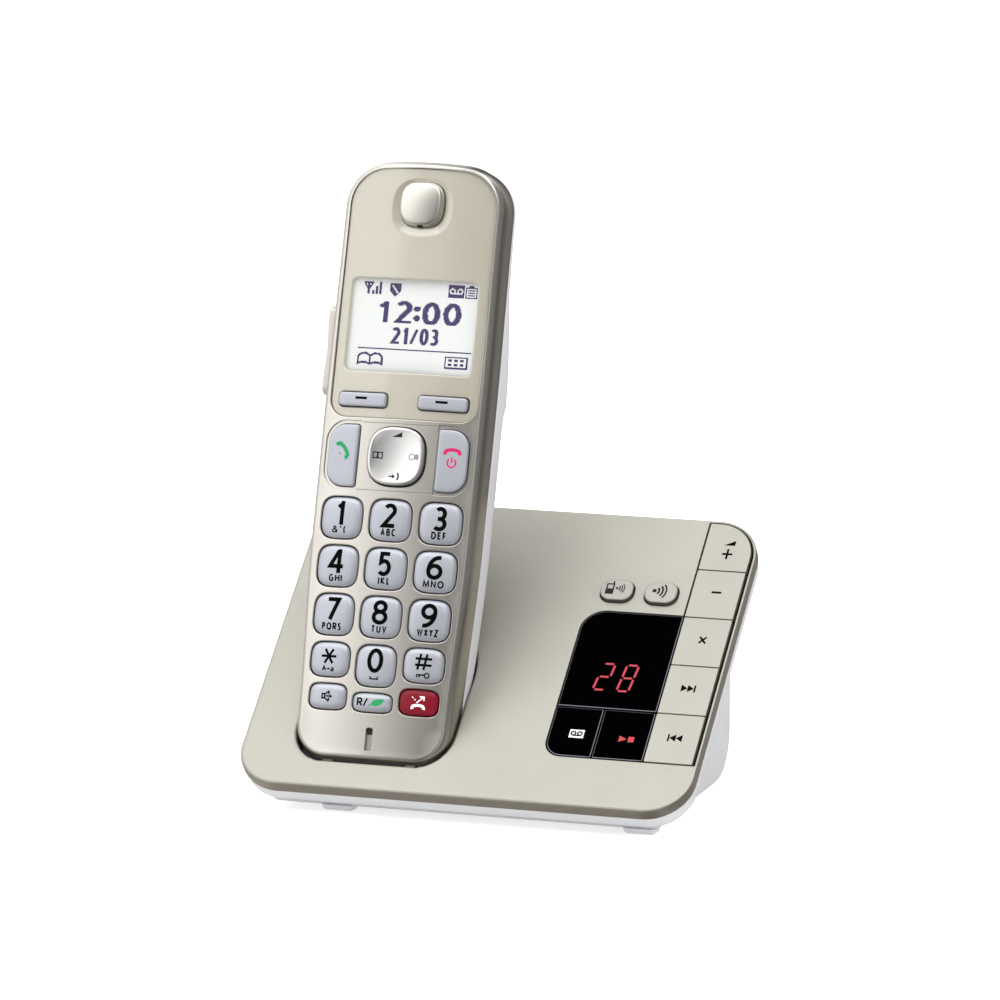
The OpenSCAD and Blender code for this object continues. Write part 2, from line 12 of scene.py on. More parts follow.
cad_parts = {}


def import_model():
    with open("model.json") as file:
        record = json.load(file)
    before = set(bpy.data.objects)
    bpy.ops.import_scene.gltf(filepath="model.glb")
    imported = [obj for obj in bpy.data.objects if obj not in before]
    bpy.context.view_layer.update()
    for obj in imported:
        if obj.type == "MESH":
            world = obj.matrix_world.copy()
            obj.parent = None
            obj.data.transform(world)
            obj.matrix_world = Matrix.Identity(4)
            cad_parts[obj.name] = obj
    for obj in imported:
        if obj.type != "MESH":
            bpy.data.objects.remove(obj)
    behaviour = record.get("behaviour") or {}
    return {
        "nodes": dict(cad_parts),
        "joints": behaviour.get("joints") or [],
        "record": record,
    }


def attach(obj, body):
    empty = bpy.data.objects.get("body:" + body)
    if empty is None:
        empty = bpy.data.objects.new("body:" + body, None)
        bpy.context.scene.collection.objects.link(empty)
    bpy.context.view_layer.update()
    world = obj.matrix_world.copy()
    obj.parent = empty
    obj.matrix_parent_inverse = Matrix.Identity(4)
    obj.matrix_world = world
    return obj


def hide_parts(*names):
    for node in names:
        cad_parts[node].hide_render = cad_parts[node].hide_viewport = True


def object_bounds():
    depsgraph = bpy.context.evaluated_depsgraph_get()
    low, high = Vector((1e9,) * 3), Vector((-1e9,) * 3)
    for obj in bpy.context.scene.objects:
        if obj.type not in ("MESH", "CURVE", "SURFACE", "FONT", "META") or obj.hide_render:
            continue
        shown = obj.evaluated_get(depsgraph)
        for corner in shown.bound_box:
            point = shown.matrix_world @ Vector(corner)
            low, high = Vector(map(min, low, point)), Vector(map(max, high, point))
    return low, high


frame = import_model()
cad_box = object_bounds()

# ---- Frames: every shape below is drawn in millimetres in one of these ----

MM = 0.001
JOINTS = {joint["name"]: joint for joint in frame["joints"]}
SLOT_OF = {part["node"]: part["material_slot"] for part in frame["record"]["subparts"]}
BODY_OF = {node: body for body, nodes in frame["record"]["behaviour"]["bodies"].items() for node in nodes}
HAND_UP = Vector(JOINTS["handset_lift"]["axis"])
PLATE_OUT = -Vector(JOINTS["erase_key_press"]["axis"])
ACROSS = Vector((1, 0, 0))
FRONT_EDGE_Z = 9.0
HANDSET_X = -29.1
HANDSET_V = 10.5          # where the handset's face meets the slope
FOOT_SINK = 0.6


def axes(origin, across, up):
    """A frame of millimetres with its origin in metres, x along across and y along up."""
    out = across.cross(up)
    columns = [across * MM, up * MM, out * MM]
    rows = [[*(column[i] for column in columns), origin[i]] for i in range(3)]
    return Matrix([*rows, [0, 0, 0, 1]])


front_edge = Vector((0, cad_box[0][1], FRONT_EDGE_Z * MM))
plate_up = PLATE_OUT.cross(ACROSS)
PLATE = axes(front_edge, ACROSS, plate_up)
BASE = axes(front_edge, ACROSS, Vector((0, 1, 0)))
hand_foot = front_edge + ACROSS * HANDSET_X * MM + plate_up * HANDSET_V * MM - HAND_UP * FOOT_SINK * MM
HANDSET = axes(hand_foot, ACROSS, HAND_UP)
SLOPE_GAP = math.acos(HAND_UP.dot(plate_up))   # angle between handset and slope
CROWN_R = 170.0


def crown(s):
    """Drop of the handset's face, s across from its middle."""
    return math.sqrt(CROWN_R ** 2 - s * s) - CROWN_R


def on_crown(s, t):
    """A frame that lies square on the face at s, t."""
    lean = math.asin(s / CROWN_R)
    return HANDSET @ Matrix.Translation((0, t, -CROWN_R)) @ Matrix.Rotation(lean, 4, "Y") \
        @ Matrix.Translation((0, 0, CROWN_R))


# ---- Materials ----


GRAIN, PATCHES = 4000.0, 60.0      # noise scales of the grain and of the slow change, per metre
RELIEF = 0.0002                    # depth of the grain in metres


def linear(color):
    return [((c / 255 + 0.055) / 1.055) ** 2.4 if c > 10 else c / 255 / 12.92 for c in color]


def node(tree, kind, inputs=(), **settings):
    made = tree.nodes.new(kind)
    for name, value in settings.items():
        setattr(made, name, value)
    for name, value in dict(inputs).items():
        if isinstance(value, bpy.types.NodeSocket):
            tree.links.new(value, made.inputs[name])
        else:
            made.inputs[name].default_value = value
    return made


def finish(name, color, roughness, metallic=0.0, bump=0.05, mottle=0.06, spread=0.06, **sockets):
    """A moulded or painted finish: fine grain in the surface, slow change of tone and gloss."""
    material = bpy.data.materials.new(name)
    material.use_nodes = True
    tree = material.node_tree
    shader = tree.nodes["Principled BSDF"]
    place = node(tree, "ShaderNodeTexCoord").outputs["Object"]
    fine, slow = [
        node(tree, "ShaderNodeTexNoise", {"Vector": place, "Scale": scale, "Detail": detail}).outputs["Fac"]
        for scale, detail in ((GRAIN, 3.0), (PATCHES, 2.0))]
    tone = node(tree, "ShaderNodeMix", data_type="RGBA")
    ends = {socket.name: socket for socket in tone.inputs if socket.enabled}
    tree.links.new(fine, ends["Factor"])
    for end, share in (("A", 1 - mottle), ("B", 1 + mottle)):
        ends[end].default_value = [min(1, c * share) for c in linear(color)] + [1]
    tree.links.new([o for o in tone.outputs if o.enabled][0], shader.inputs["Base Color"])
    limits = {"Value": slow, "To Min": roughness - spread, "To Max": roughness + spread}
    tree.links.new(node(tree, "ShaderNodeMapRange", limits).outputs[0], shader.inputs["Roughness"])
    relief = node(tree, "ShaderNodeBump", {"Height": fine, "Strength": bump, "Distance": RELIEF})
    tree.links.new(relief.outputs[0], shader.inputs["Normal"])
    for socket, value in {"Metallic": metallic, **sockets}.items():
        shader.inputs[socket].default_value = value
    return material


def glow(color, strength):
    return {"Emission Color": (*color, 1), "Emission Strength": strength}


# Colour, roughness and metallic share, then bump, mottle and spread where they aren't the usual ones
LOOKS = {
    "champagne_paint": ((208, 204, 196), 0.30, 0.97, 0.03),
    "champagne_satin": ((167, 165, 155), 0.42, 0.55, 0.06, 0.14),
    "champagne_gloss": ((182, 177, 161), 0.42, 0.3, 0.01, 0.04),
    "champagne_key": ((200, 196, 186), 0.38, 0.5, 0.03),
    "pale_plastic": ((194, 194, 196), 0.42, 0.0, 0.08, 0.02),
    "clear_lens": ((245, 248, 250), 0.05, 0.0, 0.0, 0.0, 0.01),
    "lcd": ((206, 208, 206), 0.5, 0.0, 0.0, 0.01),
    "silver_plastic": ((232, 231, 229), 0.30, 0.95, 0.0, 0.02, 0.0),
    "key_grey": ((184, 186, 194), 0.46, 0.65, 0.03, 0.02),
    "key_red": ((122, 14, 32), 0.34, 0.0, 0.02, 0.03),
    "round_key_grey": ((168, 165, 158), 0.42, 0.25, 0.03),
    "black_gloss": ((2, 2, 3), 0.07, 0.0, 0.0, 0.1, 0.03),
    "led_red": ((168, 66, 74), 0.4, 0.0, 0.0, 0.02),
    "dark_plastic": ((26, 25, 25), 0.5, 0.0, 0.06),
    "foot_rubber": ((205, 207, 211), 0.6, 0.0, 0.1, 0.03),
    "contact_metal": ((128, 122, 110), 0.5, 0.8, 0.02),
    "screw_steel": ((175, 176, 180), 0.35, 1.0),
    "speaker_metal": ((70, 70, 73), 0.4, 0.8),
    "circuit_board": ((30, 92, 55), 0.35, 0.0, 0.05, 0.15),
    "battery_wrap": ((60, 130, 85), 0.3, 0.0, 0.05, 0.03),
    # a darker copy of the handset paint, for its sides and the microphone slot's floor: painted shade
    "champagne_painted_shade": ((176, 170, 161), 0.36, 0.97, 0.1, 0.2),
    # a darker, more metallic copy of the plate's satin, for its rounded lower edge and band: painted shade
    "band_painted_shade": ((164, 156, 144), 0.36, 0.8, 0.03),
    # dark flanks of the round keys: painted shade
    "round_key_painted_shade": ((84, 76, 72), 0.45, 0.2),
    # pale metal for the bevels of the black keys and window: painted highlight
    "bevel_painted_highlight": ((96, 96, 102), 0.18, 1.0, 0.0, 0.02),
    "brushed_silver": ((220, 216, 207), 0.30, 0.97, 0.02, 0.04),
    "floor_paint": ((250, 250, 250), 0.9, 0.0, 0.0, 0.0),
}
SHINE = "Specular IOR Level"
MORE = {
    "champagne_gloss": {"Coat Weight": 1.0, "Coat Roughness": 0.015, "Coat IOR": 1.8},
    "clear_lens": {"Alpha": 0.04},
    # the display glows faintly so that it reads whiter: painted light
    "lcd": glow((1, 1, 0.99), 0.06),
    "key_red": {SHINE: 0.25},
    "black_gloss": {SHINE: 0.0},
    "led_red": {SHINE: 0.0, **glow((0.55, 0.09, 0.12), 0.3)},
    "floor_paint": glow((1, 1, 1), 0.45),
    # the red print glows faintly: painted light
    "red_ink": glow((0.6, 0.09, 0.10), 0.2),
}
FINISHES = {name: finish(name, *look, **MORE.get(name, {})) for name, look in LOOKS.items()}
INK_COLORS = {"black": (6, 6, 7), "grey": (46, 46, 46), "pale_grey": (140, 142, 142), "green": (52, 150, 96),
              "pink": (196, 42, 104), "white": (240, 240, 240), "purple": (54, 38, 88), "red": (180, 70, 74)}
INKS = {name: finish(name + "_ink", color, 0.7, bump=0.02, **{SHINE: 0.04, **MORE.get(name + "_ink", {})})
        for name, color in INK_COLORS.items()}
INKS["led"] = FINISHES["led_red"]

# ---- Outlines ----


def fillet(corners, step=1.5):
    """A closed outline, counter-clockwise, through corners (x, y, radius), with a step between its points."""
    ends = []
    for i, (x, y, radius) in enumerate(corners):
        here = Vector((x, y))
        back = (Vector(corners[i - 1][:2]) - here).normalized()
        ahead = (Vector(corners[(i + 1) % len(corners)][:2]) - here).normalized()
        if radius <= 0:
            ends.append([here])
            continue
        half = back.angle(ahead) / 2
        centre = here + (back + ahead).normalized() * (radius / math.sin(half))
        start = here + back * (radius / math.tan(half)) - centre
        sweep = math.pi - 2 * half
        if back.x * ahead.y - back.y * ahead.x > 0:
            sweep = -sweep
        steps = max(4, math.ceil(abs(sweep) * radius / step * 2))
        turns = [math.atan2(start.y, start.x) + sweep * k / steps for k in range(steps + 1)]
        ends.append([centre + radius * Vector((math.cos(a), math.sin(a))) for a in turns])
    loop = []
    for i, arc in enumerate(ends):
        loop += arc
        gap = ends[(i + 1) % len(ends)][0] - arc[-1]
        steps = max(1, math.ceil(gap.length / step))
        loop += [arc[-1] + gap * k / steps for k in range(1, steps)]
    return np.array([(p.x, p.y) for p in loop])


CORNERS = ((-1, -1), (1, -1), (1, 1), (-1, 1))


def box_outline(x, y, w, h, radius, step=1.5):
    """A rectangle about x, y with round corners. radius is one number, or four from lower left round."""
    radii = [radius] * 4 if np.isscalar(radius) else radius
    return fillet([(x + i * w / 2, y + j * h / 2, r) for (i, j), r in zip(CORNERS, radii)], step)


def span_outline(left, low, right, high, radii=(0.3, 0.3, 0.3, 0.3), step=2.0):
    """A rectangle with round corners, from its lower left corner to its upper right one."""
    places = ((left, low), (right, low), (right, high), (left, high))
    return fillet([(*place, radius) for place, radius in zip(places, radii)], step)


def squircle(x, y, w, h, power=3.4, count=48):
    turn = np.linspace(0, 2 * math.pi, count, endpoint=False)
    sides = [middle + size / 2 * np.sign(wave) * abs(wave) ** (2 / power)
             for middle, size, wave in ((x, w, np.cos(turn)), (y, h, np.sin(turn)))]
    return np.stack(sides, 1)


def outward(loop):
    along = np.roll(loop, -1, 0) - np.roll(loop, 1, 0)
    normal = np.stack([along[:, 1], -along[:, 0]], 1)
    return normal / np.linalg.norm(normal, axis=1)[:, None]


def grow(loop, distance):
    return loop + outward(loop) * np.reshape(distance, (-1, 1))


def inside(points, loop):
    """Which points lie inside a closed outline."""
    x, y = points[:, 0][:, None], points[:, 1][:, None]
    x0, y0 = loop[:, 0][None], loop[:, 1][None]
    x1, y1 = np.roll(x0, -1, 1), np.roll(y0, -1, 1)
    spans = (y0 > y) != (y1 > y)
    rise = np.where(y1 == y0, 1e-9, y1 - y0)
    return (spans & (x < (x1 - x0) * (y - y0) / rise + x0)).sum(1) % 2 == 1


def between(points, outlines):
    """Which points lie inside the first outline and outside the others."""
    keep = inside(points, outlines[0])
    for outline in outlines[1:]:
        keep &= ~inside(points, outline)
    return keep


# ---- Meshes ----

ON_FACE = 0.005            # how near the crown a point counts as lying on it


def spawn(name, data):
    made = bpy.data.objects.new(name, data)
    bpy.context.scene.collection.objects.link(made)
    return made


class Skin:
    """A mesh in the making: rings of points joined by strips, and flat regions filled between rings."""

    def __init__(self):
        self.points, self.faces, self.tones, self.holes = [], [], [], []

    def ring(self, loop, height):
        """Points of an outline at a height, which is a number, a list or a function of x and y."""
        first = len(self.points)
        for i, (x, y) in enumerate(loop):
            z = height(x, y) if callable(height) else height if np.isscalar(height) else height[i]
            self.points.append((x, y, z))
        return list(range(first, len(self.points)))

    def face(self, corners, tone=0):
        self.faces.append(tuple(corners))
        self.tones.append(tone)

    def strip(self, a, b, tone=0):
        for i, j in enumerate([*range(1, len(a)), 0]):
            self.face((a[i], a[j], b[j], b[i]), tone)

    def strips(self, rings, tone=0, turned=False):
        """Strips from ring to ring. They face outwards where the rings go up, or, turned, where they go down."""
        if turned:
            rings = [ring[::-1] for ring in rings]
        for a, b in zip(rings, rings[1:]):
            self.strip(a, b, tone)

    def cap(self, ring, height, scales=(0.8, 0.6, 0.4, 0.2)):
        """Closes a ring with smaller rings about its middle, for domed or dished tops."""
        loop = np.array([self.points[i][:2] for i in ring])
        middle = (loop.min(0) + loop.max(0)) / 2
        for scale in scales:
            smaller = self.ring(middle + (loop - middle) * scale, height)
            self.strip(ring, smaller)
            ring = smaller
        self.points.append((*middle, height(*middle)))
        for i, j in zip(ring, ring[1:] + ring[:1]):
            self.face((i, j, len(self.points) - 1))

    def fill(self, outer, holes=(), height=0.0, step=4.0, down=False):
        """Fills between rings with triangles that follow the height."""
        loops = [outer, *holes]
        outlines = [np.array([self.points[i][:2] for i in loop]) for loop in loops]
        low, high = outlines[0].min(0), outlines[0].max(0)
        grid = np.array([(x, y) for x in np.arange(low[0] + step / 2, high[0], step)
                         for y in np.arange(low[1] + step / 2, high[1], step)]).reshape(-1, 2)
        grid = grid[between(grid, outlines)]
        if len(grid):
            rims = np.concatenate(outlines)
            near = np.sqrt(((grid[:, None] - rims[None]) ** 2).sum(2)).min(1)
            grid = grid[near > step * 0.4]
        known = [i for loop in loops for i in loop] + self.ring(grid, height)
        edges = []
        for loop in loops:
            start = len(edges)
            edges += [(start + k, start + (k + 1) % len(loop)) for k in range(len(loop))]
        places = [Vector(self.points[i][:2]) for i in known]
        found, _, faces, origins, _, _ = delaunay_2d_cdt(places, edges, [], 0, 1e-7)
        middles = np.array([sum((found[i] for i in face), Vector((0, 0))) / len(face) for face in faces])
        for face, kept in zip(faces, between(middles, outlines)):
            if kept and all(origins[i] for i in face):
                corners = [known[origins[i][0]] for i in face]
                self.face(corners[::-1] if down else corners)

    def lip(self, loop, profile, height=0.0):
        """Rings round an outline, at (distance outwards, rise) from a height. Returns their lists."""
        base = height if callable(height) else lambda x, y: height
        return [self.ring(grow(loop, out), lambda x, y, rise=rise: base(x, y) + rise)
                for out, rise in profile]

    def hole(self, loop, profile, height=0.0):
        """A lip that goes down into an opening. The opening joins the list of holes."""
        rings = self.lip(loop, profile, height)
        self.strips(rings)
        self.holes.append(rings[0])
        return rings

    def make(self, name, where, body, slot, *nodes, paint=None, tones=(), crease=40, even=True, crowned=None):
        """The finished piece: it rides on a body, takes its slot's finish and hides the CAD nodes it replaces.
        paint is its finish if that isn't the slot's, and tones are the finishes of the faces whose tone isn't 0.
        Points at the height crowned, or a channel's depth below it, take their shading from the crown."""
        mesh = bpy.data.meshes.new(name)
        mesh.from_pydata([where @ Vector(p) for p in self.points], [], self.faces)
        mesh.validate()
        piece = spawn(name, mesh)
        for look in (paint or slot, *tones):
            mesh.materials.append(FINISHES[look])
        if len(self.tones) == len(mesh.polygons):
            mesh.polygons.foreach_set("material_index", self.tones)
        mesh.polygons.foreach_set("use_smooth", [True] * len(mesh.polygons))
        mesh.set_sharp_from_angle(angle=math.radians(crease))
        if crowned:
            normals = [spot.normal.copy() for spot in mesh.vertices]
            for i, (x, y, z) in enumerate(self.points):
                sunk = crowned(x, y) - z
                if min(abs(sunk), abs(sunk - CHANNEL_DEPTH)) < ON_FACE:
                    normals[i] = (where.to_3x3() @ Vector((x / CROWN_R, 0, 1))).normalized()
            mesh.normals_split_custom_set_from_vertices(normals)
        elif even:
            piece.modifiers.new("even_shading", "WEIGHTED_NORMAL").keep_sharp = True
        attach(piece, body)
        if nodes:
            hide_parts(*nodes)
        return piece


def slab(name, loop, heights, slot, *nodes, step=4.0, **more):
    """A flat piece of the handset: a ring at each height, closed at the last one."""
    skin = Skin()
    rings = [skin.ring(loop, z) for z in heights]
    skin.strips(rings)
    skin.fill(rings[-1], (), heights[-1], step)
    skin.make(name, HANDSET, "handset", slot, *nodes, **more)


# ---- Printed marks ----


INK_CUT, INK_THICK, INK_LIFT = 0.7, 0.04, 0.03
SHARPEST = 0.4             # keeps a stroke's mitres short at sharp turns


class Ink:
    """Flat printed shapes, gathered in one colour and laid on a surface."""

    def __init__(self):
        self.points, self.faces = [], []

    def poly(self, points):
        first = len(self.points)
        self.points += [tuple(p) for p in points]
        self.faces.append(tuple(range(first, len(self.points))))
        return self

    def stroke(self, points, width, closed=False):
        """A line of a width through the points."""
        path = [Vector(p) for p in points]
        count = len(path)
        sides = []
        for i, here in enumerate(path):
            before = path[i - 1] if i or closed else None
            after = path[(i + 1) % count] if i < count - 1 or closed else None
            runs = [here - before] if before else []
            runs += [after - here] if after else []
            runs = [run.normalized() for run in runs]
            lean = sum(runs, Vector((0, 0))).normalized()
            wide = Vector((-lean.y, lean.x)) * (width / 2 / max(SHARPEST, lean.dot(runs[0])))
            sides.append((here + wide, here - wide))
        for i in range(count if closed else count - 1):
            (a, b), (c, d) = sides[i], sides[(i + 1) % count]
            self.poly([b, d, c, a])
        return self

    def arc(self, x, y, radius, start, end, width, steps=12):
        turn = [math.radians(start + (end - start) * k / steps) for k in range(steps + 1)]
        full = abs(end - start) >= 360
        points = [(x + radius * math.cos(a), y + radius * math.sin(a)) for a in turn]
        return self.stroke(points[:-1] if full else points, width, full)

    def disc(self, x, y, radius, steps=20):
        turn = [2 * math.pi * k / steps for k in range(steps)]
        return self.poly([(x + radius * math.cos(a), y + radius * math.sin(a)) for a in turn])

    def box(self, x, y, w, h):
        return self.poly([(x + i * w / 2, y + j * h / 2) for i, j in CORNERS])

    def add(self, other, x=0.0, y=0.0):
        first = len(self.points)
        self.points += [(px + x, py + y) for px, py in other.points]
        self.faces += [tuple(first + i for i in face) for face in other.faces]
        return self

    def turn(self, degrees):
        c, s = math.cos(math.radians(degrees)), math.sin(math.radians(degrees))
        self.points = [(x * c - y * s, x * s + y * c) for x, y in self.points]
        return self

    def covers(self, spots):
        """Which spots lie on the ink."""
        hit = np.zeros(len(spots), bool)
        for face in self.faces:
            hit |= inside(spots, np.array([self.points[i] for i in face]))
        return hit

    def lay(self, name, where, body, color, height=None, slot=None, lift=INK_LIFT):
        """The printed piece. On a curved surface the shapes are cut small, so that they follow it."""
        work = bmesh.new()
        spots = [work.verts.new((x, y, 0)) for x, y in self.points]
        for face in self.faces:
            work.faces.new([spots[i] for i in face])
        if height:
            low, high = np.min(self.points, 0), np.max(self.points, 0)
            for axis in (0, 1):
                for at in np.arange(low[axis] + INK_CUT / 2, high[axis], INK_CUT):
                    place, normal = Vector((0, 0, 0)), Vector((0, 0, 0))
                    place[axis], normal[axis] = at, 1
                    bmesh.ops.bisect_plane(work, geom=work.verts[:] + work.edges[:] + work.faces[:],
                                           plane_co=place, plane_no=normal, dist=1e-5)
        for spot in work.verts:
            spot.co.z = lift + (height(spot.co.x, spot.co.y) if height else 0)
        work.transform(where)
        mesh = bpy.data.meshes.new(name)
        work.to_mesh(mesh)
        work.free()
        piece = spawn(name, mesh)
        mesh.materials.append(INKS[color])
        thick = piece.modifiers.new("ink", "SOLIDIFY")
        thick.thickness, thick.offset = INK_THICK * MM, -1
        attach(piece, body)
        return piece


# Each sign as strokes in a box from -1 to 1. A stroke is a run of points and arcs (x, y, rx, ry, from, to).
ROUND_TOP = [(-1, -1), (-1, 1), (0.1, 0.48, 0.85, 0.52, 90, -90), (-1, -0.04)]
SIGNS = {
    "0": [[(0, 0, 1, 1, 0, 360)]],
    "1": [[(-1, 0.55), (0.5, 0.9)], [(0.5, 1.18), (0.5, -1.18)]],
    "2": [[(-0.02, 0.5, 0.88, 0.5, 148, -40), (-1, -1), (1, -1)]],
    "3": [[(-0.05, 0.5, 0.82, 0.5, 138, -90), (-0.45, 0)], [(-0.1, -0.5, 1.0, 0.5, 90, -140)]],
    "4": [[(1.1, -0.5), (-1, -0.5), (0.3, 1.05)], [(0.42, 1.18), (0.42, -1.18)]],
    "5": [[(0.82, 1), (-0.72, 1), (-0.78, 0.12), (-0.15, -0.36, 1.02, 0.64, 100, -140)]],
    "6": [[(0, -0.42, 1.0, 0.58, 0, 360)], [(0.78, -0.3, 1.78, 1.28, 85, 184)]],
    "7": [[(-1, 1), (1, 1), (-0.4, -1)]],
    "8": [[(0, 0.53, 0.86, 0.47, 0, 360)], [(0, -0.47, 1.0, 0.53, 0, 360)]],
    "9": [[(0, 0.42, 1.0, 0.58, 0, 360)], [(-0.78, 0.3, 1.78, 1.28, -95, 4)]],
    "A": [[(-1, -1), (0, 1), (1, -1)], [(-0.6, -0.35), (0.6, -0.35)]],
    "B": [[(-1, 1), (0.15, 0.53, 0.7, 0.47, 90, -90), (-1, 0.06)],
          [(-1, 0.06), (0.2, -0.47, 0.8, 0.53, 90, -90), (-1, -1)], [(-1, -1), (-1, 1)]],
    "C": [[(0.1, 0, 1.1, 1, 52, 308)]],
    "D": [[(-1, -1), (-1, 1), (-0.1, 0, 1.1, 1, 90, -90), (-1, -1)]],
    "E": [[(1, 1), (-1, 1), (-1, -1), (1, -1)], [(-1, 0), (0.8, 0)]],
    "F": [[(1, 1), (-1, 1), (-1, -1)], [(-1, 0.05), (0.8, 0.05)]],
    "G": [[(0.05, 0, 1.05, 1, 52, 300), (0.95, -0.72), (0.95, -0.02), (0.2, -0.02)]],
    "H": [[(-1, -1), (-1, 1)], [(1, -1), (1, 1)], [(-1, 0), (1, 0)]],
    "I": [[(0, -1), (0, 1)]],
    "J": [[(1, 1), (0.1, -0.5, 0.9, 0.5, 0, -70), (-1, -1)]],
    "K": [[(-1, -1), (-1, 1)], [(0.9, 1), (-0.85, 0.0), (1, -1)]],
    "L": [[(-1, 1), (-1, -1), (1, -1)]],
    "M": [[(-1, -1), (-0.85, 1), (0, -0.8), (0.85, 1), (1, -1)]],
    "N": [[(-1, -1), (-1, 1), (1, -1), (1, 1)]],
    "O": [[(0, 0, 1, 1, 0, 360)]],
    "P": [ROUND_TOP],
    "Q": [[(0, 0, 1, 1, 0, 360)], [(0.2, -0.6), (1.0, -1.15)]],
    "R": [ROUND_TOP, [(-0.1, -0.04), (1, -1)]],
    "S": [[(0, 0.5, 0.9, 0.5, 35, 250), (0, -0.5, 1, 0.5, 70, -145)]],
    "T": [[(-1, 1), (1, 1)], [(0, 1), (0, -1)]],
    "U": [[(-1, 1), (0, -0.35, 1, 0.65, 180, 360), (1, 1)]],
    "V": [[(-1, 1), (0, -1), (1, 1)]],
    "W": [[(-1, 1), (-0.52, -1), (0, 0.9), (0.52, -1), (1, 1)]],
    "X": [[(-1, -1), (1, 1)], [(-1, 1), (1, -1)]],
    "Y": [[(-1, 1), (0, -0.05), (1, 1)], [(0, -0.05), (0, -1)]],
    "Z": [[(-1, 1), (1, 1), (-1, -1), (1, -1)]],
    "&": [[(1.0, -1.0), (-0.4, 0.35), (-0.1, 0.62, 0.42, 0.38, 190, -30),
           (-0.25, -0.52, 0.75, 0.48, 130, 320), (0.9, -0.05)]],
    "'": [[(0.1, 1), (-0.1, 0.2)]],
    "(": [[(0.9, 0, 1.9, 1.2, 122, 238)]],
    "/": [[(-1, -1), (1, 1)]],
    "a": [[(-0.8, 0.7), (0.05, 0.4, 0.9, 0.6, 110, 0), (0.95, -1)],
          [(0.9, 0), (-0.1, -0.5, 0.9, 0.48, 90, 270), (0.9, -0.7)]],
}
SIGN_WIDTH = {"I": 0.12, "'": 0.15, "(": 0.35, "J": 0.5, "L": 0.72, "E": 0.75, "F": 0.72, "S": 0.78,
              "B": 0.85, "P": 0.85, "M": 1.3, "O": 1.25, "Q": 1.25, "W": 1.55}


def stroked(sign, x, y, width, height, weight):
    """A sign of one stroke weight, centred at x, y, as a width and height over its ink."""
    ink = Ink()
    half_w, half_h = max(0, width - weight) / 2, (height - weight) / 2
    for stroke in SIGNS[sign]:
        points = []
        for bit in stroke:
            if len(bit) == 2:
                points.append(bit)
                continue
            cx, cy, rx, ry, start, end = bit
            turns = np.radians(np.linspace(start, end, 2 + abs(end - start) // 9))
            points += [(cx + rx * math.cos(a), cy + ry * math.sin(a)) for a in turns]
        closed = len(stroke[0]) == 6 and abs(stroke[0][5] - stroke[0][4]) == 360
        points = points[:-1] if closed else points
        ink.stroke([(x + px * half_w, y + py * half_h) for px, py in points], weight, closed)
    return ink


def word(signs, x, y, width, height, weight, space=0.36):
    """A row of signs centred at x, y."""
    ink = Ink()
    wide = [SIGN_WIDTH.get(sign, 1.0) for sign in signs]
    scale = width / (sum(wide) + space * (len(signs) - 1))
    left = x - width / 2
    for sign, w in zip(signs, wide):
        ink.add(stroked(sign, left + w * scale / 2, y, w * scale, height, weight))
        left += (w + space) * scale
    return ink


def receiver(ink, x, y, size, angle):
    """A telephone receiver: a slightly bowed grip with two ends."""
    part = Ink().arc(0, -0.95 * size, size, 65, 115, 0.19 * size, 10)
    for side in (-1, 1):
        end = ((0.28, 0.0), (0.5, -0.05), (0.5, -0.25), (0.3, -0.2))
        part.poly([(side * u * size, v * size) for u, v in end][::side])
    part.turn(angle)
    return ink.add(part, x, y)


def waves(ink, x, y, size):
    """A dot that sends out three waves to the right."""
    ink.disc(x, y, 0.16 * size)
    for k, width in ((0.45, 0.15), (0.72, 0.14), (0.98, 0.12)):
        ink.arc(x - 0.1 * size, y, k * size, -38, 38, width * size, 6)
    return ink


# ---- Handset casing ----

HAND_LEN = 175.0
FOOT_R, FOOT_HALF = 10.0, 23.5
TOP_R, TOP_HALF = 13.3, 24.6
WAIST_HALF = 25.0
FOOT_TAPER, TOP_TAPER_T, TOP_TAPER = 55, 108, 50      # where and over what length the width changes
SEAM = -11.5
PANEL_SINK = 0.6
PANEL_HALF, PANEL_LOW, PANEL_TOP = 22.2, 99.4, 172.6
EAR_T, SCREEN_T, NAV_T = 162.1, 126.5, 88.4
SCREEN_W, SCREEN_H = 38.2, 27.0


def ease(x):
    x = min(1.0, max(0.0, x))
    return x * x * (3 - 2 * x)


def half_width(t):
    return WAIST_HALF + (FOOT_HALF - WAIST_HALF) * (1 - ease((t - FOOT_R) / FOOT_TAPER)) \
        + (TOP_HALF - WAIST_HALF) * ease((t - TOP_TAPER_T) / TOP_TAPER)


def handset_outline():
    """The handset seen from the front, counter-clockwise from the middle of its foot."""
    half = [(s, 0.0) for s in np.arange(0, FOOT_HALF - FOOT_R, 1.5)]
    half += [(FOOT_HALF - FOOT_R + FOOT_R * math.cos(a), FOOT_R + FOOT_R * math.sin(a))
             for a in np.radians(range(-90, 0, 8))]
    top_t = HAND_LEN - 0.4 - TOP_R
    half += [(half_width(t), t) for t in np.linspace(FOOT_R, top_t, 60)]
    half += [(TOP_HALF - TOP_R + TOP_R * math.cos(a), top_t + TOP_R * math.sin(a))
             for a in np.radians(np.arange(6, 90, 6))]
    edge_s, edge_t = half[-1]
    half += [(edge_s * k, HAND_LEN - (HAND_LEN - edge_t) * k * k) for k in (0.85, 0.7, 0.55, 0.4, 0.25, 0.12)]
    left = [(-s, t) for s, t in reversed(half) if s > 0]
    return np.array(half + [(0.0, HAND_LEN)] + left)


OUTLINE = handset_outline()


def panel_outline(gap):
    """The upper panel: parallel to the handset's sides and top, with a rounded lower edge."""
    middle, height = (PANEL_LOW + PANEL_TOP) / 2, PANEL_TOP - PANEL_LOW
    radii = [radius - gap for radius in (5.0, 5.0, 10.9, 10.9)]
    return box_outline(0, middle, 2 * (PANEL_HALF - gap), height - 2 * gap, radii)


def face(s, t):
    return crown(s)


def panel_face(s, t):
    return crown(s) - PANEL_SINK


